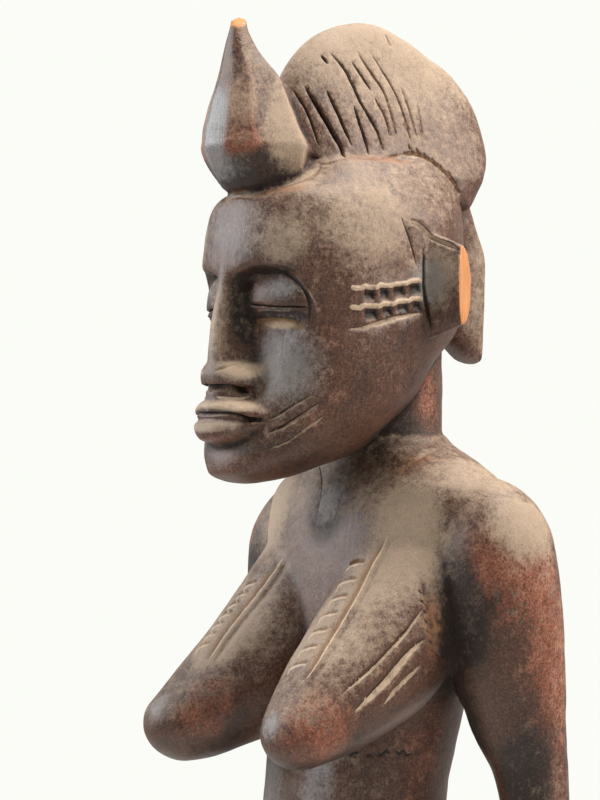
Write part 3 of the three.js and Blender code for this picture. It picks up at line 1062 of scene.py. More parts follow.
class Head:
    """The head with its face."""

    face: Face = Face()

    def skins(self) -> list[Skin]:
        """The head, sunk at the face, with the nose, the lips and the eyelids."""
        head = HEAD.skin(360, 300)
        head = Skin(self.face.press(head.points), head.corners, head.sizes)
        nose = [NOSE.skin(96, 110), NOSTRILS.skin(110, 50)]
        lips = [UPPER_LIP.skin(120, 50), LOWER_LIP.skin(120, 60)]
        return [head] + nose + lips + self.face.lids()

    def eye_strokes(self) -> list[Stroke]:
        """The brow's edge, the slit with its bright rim, the crease below and the crescent beside."""
        brow = (
            (250, 277), (262, 273), (279, 272), (290, 275),
            (298, 282), (306, 293), (310, 306), (309, 322),
        )
        slit = ((250, 305), (263, 306), (279, 307), (294, 307), (307, 307))
        rim = ((258, 311), (279, 311), (306, 310))
        ledge = ((254, 322), (266, 320), (280, 320), (294, 322), (305, 330))
        crescent = ((299, 283), (307, 291), (313, 301), (316, 312), (317, 328))
        return [
            Stroke(brow, 0.9, 1.0, 0.9, 0.15),
            Stroke(slit, 1.8, 0.7, 0.6, 0.12),
            Stroke(rim, -0.6, 0.5, 0.6, 0.2, Fill.NONE),
            Stroke(ledge, 1.2, 1.0, 3.4, 0.12, Fill.OCHRE),
            Stroke(crescent, -0.6, 0.8, 0.8, 0.3, Fill.NONE),
        ]

    def mouth_strokes(self) -> list[Stroke]:
        """The nostrils' undercut, the wing's crease, the parting of the lips and three cuts beside it."""
        undercut = ((207, 386), (222, 385.5), (234, 386), (243, 389), (248, 393))
        rim = ((216, 397), (228, 399), (240, 399), (251, 396))
        wing = ((254, 371), (260, 379), (262, 389), (256, 399))
        top = ((215, 371), (226, 367), (238, 364), (250, 366))
        lips = ((202, 415), (214, 414.5), (226, 414.5), (238, 417), (250, 419.5), (262, 420))
        hollow = ((205, 410), (216, 411), (228, 412.5), (241, 416))
        beside = (
            (((270, 420), (285, 410), (300, 401), (313, 395)), 1.7, 0.7, 1.1, 0.25),
            (((268, 433), (282, 427), (297, 418), (310, 409), (320, 403)), 2.1, 0.9, 1.2, 0.2),
            (((270, 448), (287, 442), (300, 433), (313, 424), (325, 416)), 1.3, 0.7, 0.8, 0.3),
        )
        # The nose's rim and the three cuts beside the mouth are pale: pale dust and painted light on lit
        # walls and ridges, painted shade on the cuts' shaded walls
        return [
            Stroke(undercut, 3.2, 0.8, 2.4, 0.1),
            Stroke(rim, -0.9, 1.0, 1.3, 0.4, Fill.PALE),
            Stroke(wing, 0.9, 0.8, 0.6, fill=Fill.OCHRE),
            Stroke(top, 1.0, 1.2, 0.6, fill=Fill.OCHRE),
            Stroke(lips, 2.8, 1.8, 0.9, 0.15),
            Stroke(hollow, 1.5, 1.9, 1.2, 0.3),
        ] + [Stroke(*row, Fill.PALE) for row in beside]

    def temple_strokes(self) -> list[Stroke]:
        """Two rows of pits under lit chips, and a wedge below them."""
        upper = ((349, 285), (361.5, 284.5), (377.5, 283.5), (391, 282), (407, 279.5), (423, 276.5))
        lower = ((348, 305.5), (362, 304), (380, 302.5), (394.5, 300), (411, 297), (424, 295))
        found = []
        for row in (upper, lower):
            chips = []
            for i, ((x0, y0), (x1, y1)) in enumerate(zip(row[:-1], row[1:])):
                chips += [(x0 + 1.5, y0 + 1.5), (x1 - 1, y1 + 4)]
                if i:
                    pit = ((x0 + 3.5, y0 + 10), (x1 - 2.5, y1 + 10))
                    found.append(Stroke(pit, 1.7, 2.4, 3.2, 0.01))
            # Raised chips painted pale: pale dust with a painted highlight on their lit tops
            found.append(Stroke(tuple(chips), -0.3, 1.2, 1.2, 0.03, Fill.PALE))
        # The wedge's lit wall gets pale dust with painted light, and its other wall painted shade
        wedge = ((349, 328), (362, 327), (380, 321.5), (400, 316), (424, 312))
        return found + [Stroke(wedge, 1.9, 0.7, 2.2, 0.4, Fill.PALE)]

    def strokes(self) -> list[Stroke]:
        """Every cut of the face, with the cracks before the ear."""
        cracks = (
            (((401, 217), (409, 238), (414, 256), (417, 268)), 0.7, 0.4, 0.4),
            (((424, 247), (424, 270), (425, 295), (431, 331)), 1.3, 0.9, 0.9, 0.2),
        )
        lip = ((458, 250), (447, 245), (437, 241), (428, 235), (420, 227), (411, 220))
        # The ear's lip is a pale cut: pale dust and painted light on its lit wall, painted shade on the other
        ear = [Stroke(*row) for row in cracks] + [Stroke(lip, 1.4, 0.8, 1.8, 0.15, Fill.PALE)]
        return self.eye_strokes() + self.mouth_strokes() + self.temple_strokes() + ear


HORN = Form(
    (
        (0, -53, 625, 13, 13, 16), (0, -53.5, 630.5, 17, 17, 22), (0, -55, 637, 20, 20, 25.5),
        (0, -56, 641, 21, 20.9, 27), (0, -56.2, 643.5, 21.5, 21.5, 27.2),
        (0, -56.4, 646, 21, 21, 26), (0, -57, 651, 20, 20, 22), (0, -57.7, 662, 16.5, 16.5, 17),
        (0, -58.6, 670, 13.2, 13, 14), (0, -61.9, 679, 8.2, 7.8, 8.6), (0, -63.4, 688, 4, 4, 4.2),
        (0, -63.6, 694.5, 2.6, 2.6, 2.6),
    ),
    level=True,
    start_cap=3,
    end_cap=0.6,
    corners=(-98, -66, -38.5, 18, 75, 128, 172, 222),
)

TAIL = Form(
    (
        (0, 58.5, 561.2, 4.5, 3, 2.5), (0, 56.5, 564.5, 6.5, 6, 4.5),
        (0, 54.5, 569.5, 7.6, 10, 6.6), (0, 54, 577, 8, 14.5, 7.5), (0, 54, 590, 8, 16, 8),
        (0, 54, 607, 8, 16, 8), (0, 49, 621, 8.5, 16, 7), (0, 42, 636, 9, 16, 7),
    ),
    level=True,
    start_cap=2,
    end_cap=6,
    power=2.8,
)


@dataclass(frozen=True)
class Crest:
    """The comb of hair over the head.

    Attributes:
        hub_y: the middle of its sweep, front to back.
        hub_z: the middle of its sweep, up and down.
        inner: how far from the hub its sides start.
        foot: the height up to which it keeps its full thickness.
        rise: the height over which it thins out above that.
        rim: its half thickness near the rim.
        hollow: how hollow its flanks are.
        roundness: how late its rim turns over.
        crowding: how far its skin's points crowd the rim.
        root: (y, half thickness at the foot).
        reach: (degrees from straight back, reach from the hub).
    """

    hub_y: float = 4
    hub_z: float = 632
    inner: float = 8
    foot: float = 636
    rise: float = 60
    rim: float = 9
    hollow: float = 1.4
    roundness: float = 7
    crowding: float = 1.6
    root: Run = Run(((-50, 11), (-40, 16), (-25, 21), (-5, 25), (25, 26), (48, 24)))
    reach: Run = Run(
        (
            (-12, 40), (3, 47), (12, 53), (20, 57.5), (37, 63), (52, 64),
            (65, 62.5), (92, 67), (110, 67), (126, 65), (138, 62), (168, 52),
        )
    )

    def half(self, share: Array, y: Array, z: Array) -> Array:
        """Half thickness: a tent over its foot with hollow flanks and a round rim.

        (rim + (root - rim) (1 - h)^hollow) sqrt(1 - share^roundness), with h the height over the foot
        in rises.

        Args:
            share: the share of the way from the hub to the rim.
            y: the place, front to back.
            z: the height.

        Returns:
            The half thicknesses.
        """
        high = np.clip((z - self.foot) / self.rise, 0, 1)
        tent = self.rim + (self.root.at(y)[..., 0] - self.rim) * (1 - high) ** self.hollow
        return tent * np.sqrt(np.clip(1 - share**self.roundness, 0, 1))

    def skins(self) -> list[Skin]:
        """A closed slice from hub to rim on each side, swept from back to front."""
        turn = np.radians(np.linspace(self.reach.rows[0][0], self.reach.rows[-1][0], 260))[:, None]
        way = np.linspace(0, 2, 150, endpoint=False)[None, :]
        side = np.where(way < 1, 1, -1)
        run = np.where(way < 1, way, 2 - way)
        hub = 0.1
        share = 1 - (1 - np.clip((run - hub) / (1 - hub), 0, 1)) ** self.crowding
        reach = self.reach.at(np.degrees(turn))[..., 0]
        far = self.inner + (reach - self.inner) * share
        y, z = self.hub_y + far * np.cos(turn), self.hub_z + far * np.sin(turn)
        half = self.half(share + 0 * turn, y, z) * np.minimum(run / hub, 1)
        rings = np.stack([side * half, y, z], -1)
        first, last = rings[0].mean(0), rings[-1].mean(0)
        return [Skin.closed(rings, tuple(first), tuple(last))]


@dataclass(frozen=True)
class Hair:
    """The horn, the crest and the flap behind.

    Attributes:
        crest: the comb.
        tip: the middle of the horn's slanting end.
        tip_way: the direction in which that end looks.
    """

    crest: Crest = Crest()
    tip: Point = (0, -63.5, 692.4)
    tip_way: Point = (0.506, -0.396, 0.766)

    def end_cut(self) -> "EndCut":
        """The fresh wood of the horn's end."""
        return EndCut(self.tip, self.tip_way, 8)

    def skins(self) -> list[Skin]:
        """The forms of the hair, with the horn's end cut off."""
        horn = HORN.skin(180, 170)
        beyond = np.maximum((horn.points - np.array(self.tip)) @ np.array(self.tip_way), 0)
        horn = Skin(horn.points - beyond[:, None] * np.array(self.tip_way), horn.corners, horn.sizes)
        return [horn, TAIL.skin(96, 110)] + self.crest.skins()

    def strokes(self) -> list[Stroke]:
        """The crest's combed grooves, the crease around its foot and the one under the horn."""
        grooves = (
            (((293, 91), (307, 112), (319, 146)), 1.2, 0.6, Fill.DARK),
            (((305, 87), (322, 114), (337, 140), (345, 157)), 2.6, 1.2, Fill.DARK),
            (((327, 91), (337, 112), (352, 146)), 2.0, 0.8, Fill.DARK),
            (((354, 106), (362, 130), (369, 155)), 1.7, 0.7, Fill.DARK),
            (((330, 53), (345, 70), (361, 103), (376, 129), (384, 151)), 1.7, 0.8, Fill.DARK),
            (((352, 62), (367, 84), (371, 91)), 1.3, 0.7, Fill.DARK),
            (((375, 98), (386, 120), (390, 136)), 1.3, 0.6, Fill.OCHRE),
            (((357, 52), (370, 71), (385, 95), (397, 136)), 1.3, 0.7, Fill.OCHRE),
            (((372, 55), (394, 91), (405, 119), (411, 143)), 1.2, 0.6, Fill.OCHRE),
            (((401, 88), (409, 109), (417, 138)), 1.0, 0.6, Fill.OCHRE),
            (((321, 55), (328, 64)), 1.3, 0.7, Fill.DARK),
            (((385, 33), (391, 46)), 0.7, 0.5, Fill.OCHRE),
            (((417, 100), (424, 140)), 0.6, 0.5, Fill.NONE),
        )
        found = [Stroke(line, deep, wide, wide, 0.3, fill) for line, deep, wide, fill in grooves]
        foot = ((318, 165), (335, 162), (350, 157), (367, 159), (386, 158), (403, 154))
        back = ((403, 154), (418, 155), (432, 162), (445, 173), (454, 184), (459, 194))
        found.append(Stroke(foot, 0.8, 0.9, 0.7, 0.1, Fill.OCHRE))
        found.append(Stroke(back, 1.4, 1.6, 0.7, 0.1, Fill.OCHRE))
        lock, pitch, bend = (412, 153), (8, 3.5), 0.35
        for i in range(6):
            x, y = lock[0] + pitch[0] * i, lock[1] + pitch[1] * i + bend * i * i
            found.append(Stroke(((x - 4, y - 9), (x, y)), 1.1, 0.7, 0.7, 0.4, Fill.OCHRE))
        under = ((232, 196), (253, 196), (270, 191), (290, 185), (313, 176), (321, 166))
        found.append(Stroke(under, 0.9, 1.6, 1.4, 0.1, Fill.OCHRE))
        return found


@dataclass(frozen=True)
class Ears:
    """Ears that stand out and back from the head as D-shaped blocks, cut off flat.

    Attributes:
        face: the middle of the flat cut.
        length: how far the block runs back into the head.
        turn: how far back the flat cut looks, in degrees.
        half_height: half the flat cut's height.
        depths: how deep it is ahead and behind.
        drift: how far the block drifts back as it widens.
    """

    face: Point = (51.2, 5.8, 590.5)
    length: float = 26
    turn: float = 32
    half_height: float = 15.5
    depths: tuple[float, float] = (3.5, 14)
    drift: float = 4

    @property
    def out(self) -> Array:
        """The direction in which the left ear's flat cut looks."""
        return np.array([math.cos(math.radians(self.turn)), math.sin(math.radians(self.turn)), 0])

    def end_cut(self) -> "EndCut":
        """The flat cuts' fresh wood."""
        return EndCut(self.face, tuple(self.out), 20)

    def skins(self) -> list[Skin]:
        """Both blocks: D-shaped rings that grow from the flat cut into the head."""
        out = self.out
        back = np.array([-out[1], out[0], 0])
        run = Run(((0, 0, 1), (0.45, 0.45, 1.28), (1, 1, 1.36))).at(np.linspace(0, 1, 40))
        inward, size = run[:, :1] * self.length, run[:, 1:]
        angle = turns(140)
        rise, swell = np.cos(angle), np.sin(angle)
        depth = np.where(swell > 0, self.depths[1], self.depths[0])
        shift = size * depth * swell + (size - 1) * self.drift
        rings = np.array(self.face) - inward[..., None] * out + shift[..., None] * back
        rings[..., 2] += size * self.half_height * rise
        inner = np.array(self.face) - self.length * out
        return both_sides([Skin.closed(rings, self.face, tuple(inner))])


# From skins to one carving


class Carving:
    """The fused skin, worked on as whole arrays.

    Attributes:
        margin: how far around a cut's path the search for refining reaches, besides its reach.
        evening: how many times the normals are evened out before the cuts are made.
        around_cut: how far around its walls a cut is worked out.
        sideways: the wobble of a cut's line in millimetres.
        unevenness: the wobble of its depth, as a share.
        dirt_and_shade: how dark the left wall of a pale cut is painted, as painted shade on the wall that
            lies away from the light.
        drawn_in: the outermost millimetres that fit draws in.
        slack: how far inside the solid's box they end.
    """

    margin: float = 2
    evening: int = 4
    around_cut: float = 5
    sideways: float = 0.22
    unevenness: float = 0.12
    dirt_and_shade: float = 0.55
    drawn_in: float = 14
    slack: float = 0.02

    def __init__(self, skins: list[Skin], voxel: float) -> None:
        """Fuses the skins.

        Args:
            skins: closed skins that overlap.
            voxel: the spacing of the fused mesh in millimetres.
        """
        self.take(self.fused(Skin.joined(skins), voxel))

    @staticmethod
    def applied(mesh: bpy.types.Mesh, kind: str, **settings: object) -> bpy.types.Mesh:
        """A mesh with one modifier applied to it."""
        thing = placed("working", mesh)
        modifier = thing.modifiers.new("step", kind)
        for name, value in settings.items():
            setattr(modifier, name, value)
        graph = bpy.context.evaluated_depsgraph_get()
        made = bpy.data.meshes.new_from_object(thing.evaluated_get(graph))
        bpy.data.objects.remove(thing)
        bpy.data.meshes.remove(mesh)
        return made

    def fused(self, skin: Skin, voxel: float) -> bpy.types.Mesh:
        """One closed skin around everything, as a mesh of even squares."""
        return self.applied(skin.mesh("skins"), "REMESH", mode="VOXEL", voxel_size=voxel * MM)

    def take(self, mesh: bpy.types.Mesh) -> None:
        """Reads a mesh into arrays, with its edges and normals."""
        count = len(mesh.vertices)
        points = np.empty(count * 3, np.float32)
        mesh.vertices.foreach_get("co", points)
        corners = np.empty(len(mesh.loops), np.int32)
        mesh.loops.foreach_get("vertex_index", corners)
        sizes = np.empty(len(mesh.polygons), np.int32)
        mesh.polygons.foreach_get("loop_total", sizes)
        bpy.data.meshes.remove(mesh)
        self.skin = Skin(points.reshape(-1, 3).astype(float) / MM, corners.astype(int), sizes.astype(int))
        self.relink()

    def relink(self) -> None:
        """Works out who neighbours whom, from each face's sides."""
        skin = self.skin
        starts = skin.starts
        following = np.arange(len(skin.corners)) + 1
        following[starts + skin.sizes - 1] = starts
        self.ahead = skin.corners[following]
        low, high = np.minimum(skin.corners, self.ahead), np.maximum(skin.corners, self.ahead)
        keys, self.side = np.unique(low * len(skin.points) + high, return_inverse=True)
        self.edges = np.stack([keys // len(skin.points), keys % len(skin.points)], -1)
        self.degree = np.bincount(self.edges.ravel(), minlength=len(skin.points))

    def around(self, values: Array) -> Array:
        """Each vertex's mean of its neighbours' values."""
        a, b = self.edges[:, 0], self.edges[:, 1]
        flat = values.reshape(len(values), -1)
        total = np.empty_like(flat)
        for k in range(flat.shape[1]):
            total[:, k] = np.bincount(a, flat[b, k], len(flat)) + np.bincount(b, flat[a, k], len(flat))
        return (total / self.degree[:, None]).reshape(values.shape)

    def normals(self) -> Array:
        """Outward normals: the sum of each face's diagonal cross product at its corners."""
        skin = self.skin
        starts = skin.starts
        a, b = skin.points[skin.corners[starts]], skin.points[skin.corners[starts + 1]]
        c, d = skin.points[skin.corners[starts + 2]], skin.points[skin.corners[starts + skin.sizes - 1]]
        face = np.repeat(np.cross(c - a, d - b), skin.sizes, axis=0)
        total = [np.bincount(skin.corners, face[:, k], len(skin.points)) for k in range(3)]
        return unit(np.stack(total, -1))

    def smooth(self, passes: int, amount: Array, outward_only: bool = False) -> None:
        """Moves each vertex towards the mean of its neighbours.

        Args:
            passes: how many times.
            amount: the share of the way for each vertex.
            outward_only: fills hollows and leaves ridges as they are.
        """
        for _ in range(passes):
            step = (self.around(self.skin.points) - self.skin.points) * amount[:, None]
            if outward_only:
                normal = self.normals()
                step *= np.sum(step * normal, 1, keepdims=True) > 0
            self.skin.points = self.skin.points + step

    def refine(self, wanted: Array) -> None:
        """Splits each square whose corners are all wanted into four, without cracks.

        A split square gets a middle point and the midpoints of its sides. A face beside one takes
        the shared midpoints into its own outline.

        Args:
            wanted: a flag for each vertex.
        """
        skin = self.skin
        starts, owner = skin.starts, skin.owner
        all_in = np.bincount(owner, wanted[skin.corners], len(skin.sizes)) == skin.sizes
        split = all_in & (skin.sizes == 4)
        cut_side = np.zeros(len(self.edges), bool)
        cut_side[self.side[split[owner]]] = True
        number = np.full(len(self.edges), -1)
        number[cut_side] = len(skin.points) + np.arange(cut_side.sum())
        middles = skin.points[self.edges[cut_side]].mean(1)
        first = starts[split][:, None] + np.arange(4)
        centre = len(skin.points) + len(middles) + np.arange(split.sum())
        centres = skin.points[skin.corners[first]].mean(1)
        v, m = skin.corners[first], number[self.side[first]]
        c = np.repeat(centre[:, None], 4, 1)
        quads = np.stack([v, m, c, np.roll(m, 1, axis=1)], -1).reshape(-1, 4)
        rest = ~split[owner]
        pairs = np.stack([skin.corners[rest], number[self.side[rest]]], -1)
        kept = pairs.ravel() >= 0
        extra = np.bincount(owner[rest], (pairs[:, 1] >= 0).astype(int), len(skin.sizes)).astype(int)
        sizes = (skin.sizes + extra)[~split]
        self.skin = Skin(
            np.concatenate([skin.points, middles, centres]),
            np.concatenate([pairs.ravel()[kept], quads.ravel()]),
            np.concatenate([sizes, np.full(len(quads), 4)]),
        )
        self.relink()

    def drawn(self, strokes: list[Stroke], sight: Sight) -> list[Cut]:
        """Lays strokes on the skin, where the sight through their pixels first meets it.

        Args:
            strokes: the strokes.
            sight: the view in which their lines were read.

        Returns:
            The cuts, with their twins.
        """
        thing = placed("target", self.skin.mesh("target"))
        bpy.context.view_layer.update()
        eye, found = Vector(sight.eye * MM), []
        for stroke in strokes:
            hits = [thing.ray_cast(eye, Vector(way)) for way in sight.ways(stroke.pixels())]
            found += stroke.cuts(np.array([hit[1] for hit in hits if hit[0]]).reshape(-1, 3) / MM)
        mesh = thing.data
        bpy.data.objects.remove(thing)
        bpy.data.meshes.remove(mesh)
        return found

    def near(self, cuts: list[Cut], reach: float) -> Array:
        """Flags the vertices within reach of any cut's path."""
        found = np.zeros(len(self.skin.points), bool)
        for cut in cuts:
            line = np.array(cut.path, float)
            low, high = line.min(0) - reach - self.margin, line.max(0) + reach + self.margin
            box = np.all((self.skin.points > low) & (self.skin.points < high), 1)
            spots = self.skin.points[box]
            close = np.zeros(len(spots), bool)
            for a, b in zip(line[:-1], line[1:]):
                way = b - a
                t = np.clip((spots - a) @ way / max(way @ way, TINY), 0, 1)
                gap = np.linalg.norm(spots - a - t[:, None] * way, axis=1)
                close |= gap < reach + max(cut.left, cut.right)
            found[np.flatnonzero(box)[close]] = True
        return found

    def carve(self, cuts: list[Cut], wobble: Lattice) -> dict[Fill, Array]:
        """Sinks the skin along every cut.

        Args:
            cuts: the cuts.
            wobble: the unevenness of the knife's line.

        Returns:
            For each fill, how deep each vertex lies in such a cut, from 0 to 1.
        """
        points, normals = self.skin.points, self.normals()
        for _ in range(self.evening):
            normals = unit(self.around(normals))
        sunk, raised = np.zeros(len(points)), np.zeros(len(points))
        fills = {fill: np.zeros(len(points)) for fill in Fill}
        for cut in cuts:
            line = np.array(cut.path, float)
            margin = max(cut.left, cut.right) + self.around_cut
            box = np.all((points > line.min(0) - margin) & (points < line.max(0) + margin), 1)
            spot = np.flatnonzero(box)
            uneven = wobble.at(points[spot])
            shift = np.cross(normals[spot], unit(line[-1:] - line[:1])) * self.sideways * uneven[:, None]
            share, on_left = cut.share(points[spot] + shift, normals[spot])
            depth = cut.depth * share * (1 + self.unevenness * uneven)
            if cut.depth > 0:
                sunk[spot] = np.maximum(sunk[spot], depth)
            else:
                raised[spot] = np.maximum(raised[spot], -depth)
            parts = [(cut.fill, share)]
            # A pale cut's right wall gets pale dust with painted light, and its left wall painted shade
            if cut.fill is Fill.PALE and cut.depth > 0:
                parts = [(Fill.PALE, share * ~on_left), (Fill.DARK, self.dirt_and_shade * share * on_left)]
            for fill, much in parts:
                fills[fill][spot] = np.maximum(fills[fill][spot], much)
        self.skin.points = points - normals * (sunk - raised)[:, None]
        return fills

    def fit(self, reach: Array) -> None:
        """Draws the outermost millimetres in a little, so that the skin stays in the solid's box.

        Args:
            reach: how far the solid reaches from the frame's origin along each axis, in millimetres.
        """
        points = self.skin.points
        over = np.maximum(np.abs(points) - (reach - self.drawn_in), 0)
        share = np.minimum(1, (self.drawn_in - self.slack) / np.maximum(over.max(0), TINY))
        points = points - np.sign(points) * over * (1 - share)
        self.skin.points = np.maximum(points, (-reach[0], -reach[1], 0))

    def hollowness(self, passes: int) -> Array:
        """How far each vertex lies under a smoothed copy of the skin, in millimetres."""
        smooth, share = self.skin.points, 0.6
        for _ in range(passes):
            smooth = smooth + share * (self.around(smooth) - smooth)
        return np.sum((smooth - self.skin.points) * self.normals(), 1)

    def thinned(self, name: str, triangles: int, layers: dict[str, Array]) -> bpy.types.Mesh:
        """The finished mesh, with its flattest places thinned out.

        Args:
            name: the mesh's name.
            triangles: about how many triangles stay.
            layers: values to carry on the vertices.

        Returns:
            The mesh, smooth shaded.
        """
        mesh = self.skin.mesh(name)
        for layer, values in layers.items():
            attribute = mesh.attributes.new(layer, "FLOAT", "POINT")
            attribute.data.foreach_set("value", values.astype(np.float32))
        now = int(np.sum(self.skin.sizes - 2))
        mesh = self.applied(mesh, "DECIMATE", ratio=min(1.0, triangles / now))
        mesh.polygons.foreach_set("use_smooth", np.full(len(mesh.polygons), True))
        mesh.name = name
        return mesh


# Finishes


class Weaver:
    """A material and the nodes that are added to it."""

    def __init__(self, name: str) -> None:
        """Makes the material with an empty tree."""
        self.material = bpy.data.materials.new(name)
        self.material.use_nodes = True
        self.tree = self.material.node_tree
        self.tree.nodes.clear()

    def node(self, kind: str, inputs: dict | None = None, **settings: object) -> bpy.types.Node:
        """A node with its settings and its inputs, each a value or another node's output."""
        made = self.tree.nodes.new(kind)
        for name, value in settings.items():
            setattr(made, name, value)
        for name, value in (inputs or {}).items():
            if isinstance(value, bpy.types.NodeSocket):
                self.tree.links.new(value, made.inputs[name])
            else:
                made.inputs[name].default_value = value
        return made

    def layer(self, name: str) -> bpy.types.NodeSocket:
        """A value that the mesh carries."""
        return self.node("ShaderNodeAttribute", attribute_name=name).outputs["Fac"]

    def noise(
        self, place: bpy.types.NodeSocket, scale: float, detail: float, rough: float
    ) -> bpy.types.NodeSocket:
        """Fractal noise around 0.5."""
        inputs = {"Vector": place, "Scale": scale, "Detail": detail, "Roughness": rough}
        return self.node("ShaderNodeTexNoise", inputs).outputs["Fac"]

    def stretched(self, place: bpy.types.NodeSocket, scale: Point) -> bpy.types.NodeSocket:
        """A place scaled along each axis."""
        return self.node("ShaderNodeMapping", {"Vector": place, "Scale": scale}).outputs[0]

    def sum(self, kind: str, a: object, b: object) -> bpy.types.NodeSocket:
        """One sum of two numbers."""
        return self.node("ShaderNodeMath", {0: a, 1: b}, operation=kind).outputs[0]

    def total(self, *parts: tuple[object, float], less: float = 0) -> bpy.types.NodeSocket:
        """Values times their weights, added up, less a number."""
        made = -less
        for value, weight in parts:
            inputs = {0: value, 1: weight, 2: made}
            made = self.node("ShaderNodeMath", inputs, operation="MULTIPLY_ADD").outputs[0]
        return made

    def grey(self, value: object) -> bpy.types.NodeSocket:
        """The grey whose three parts are a value."""
        return self.node("ShaderNodeCombineColor", {0: value, 1: value, 2: value}).outputs[0]

    def step(self, value: object, low: float, high: float) -> bpy.types.NodeSocket:
        """A smooth step of value, 0 at low and 1 at high."""
        inputs = {"Value": value, "From Min": low, "From Max": high}
        return self.node("ShaderNodeMapRange", inputs, interpolation_type="SMOOTHSTEP").outputs[0]

    def mix(self, share: object, a: object, b: object, kind: str = "MIX") -> bpy.types.NodeSocket:
        """A colour between a and b."""
        inputs = {0: share, 6: a, 7: b}
        return self.node("ShaderNodeMix", inputs, data_type="RGBA", blend_type=kind).outputs[2]


@dataclass(frozen=True)
class EndCut:
    """A flat cut that shows fresh wood: everything beyond a plane, on both sides of the figure.

    Attributes:
        spot: a point of the plane in millimetres.
        way: the direction in which the cut looks.
        span: how far below and above that point it counts.
        slack: how far the skin may lie under the plane.
    """

    spot: Point
    way: Point
    span: float
    slack: float = 0.35

    def share(self, w: Weaver, place: bpy.types.NodeSocket) -> bpy.types.NodeSocket:
        """1 on the cut and 0 elsewhere."""
        part = w.node("ShaderNodeSeparateXYZ", {0: place}).outputs
        inputs = {0: w.sum("ABSOLUTE", part["X"], 0), 1: part["Y"], 2: part["Z"]}
        folded = w.node("ShaderNodeCombineXYZ", inputs).outputs[0]
        inputs = {0: folded, 1: self.way}
        reach = w.node("ShaderNodeVectorMath", inputs, operation="DOT_PRODUCT").outputs["Value"]
        level = (float(np.dot(self.spot, self.way)) - self.slack) * MM
        beyond = w.step(reach, level - 0.1 * MM, level + 0.1 * MM)
        below = w.sum("LESS_THAN", part["Z"], (self.spot[2] + self.span) * MM)
        above = w.sum("GREATER_THAN", part["Z"], (self.spot[2] - self.span) * MM)
        return w.sum("MULTIPLY", beyond, w.sum("MULTIPLY", below, above))


# The wood's noises, each as (cells in a metre, octaves, roughness)
BLOTCH = (48, 5, 0.65)
PATCH = (120, 5, 0.65)
MOTTLE = (340, 5, 0.65)
SPOT = (700, 3, 0.6)
SPECK = (1400, 3, 0.6)
GRAIN = (620, 4, 0.6)


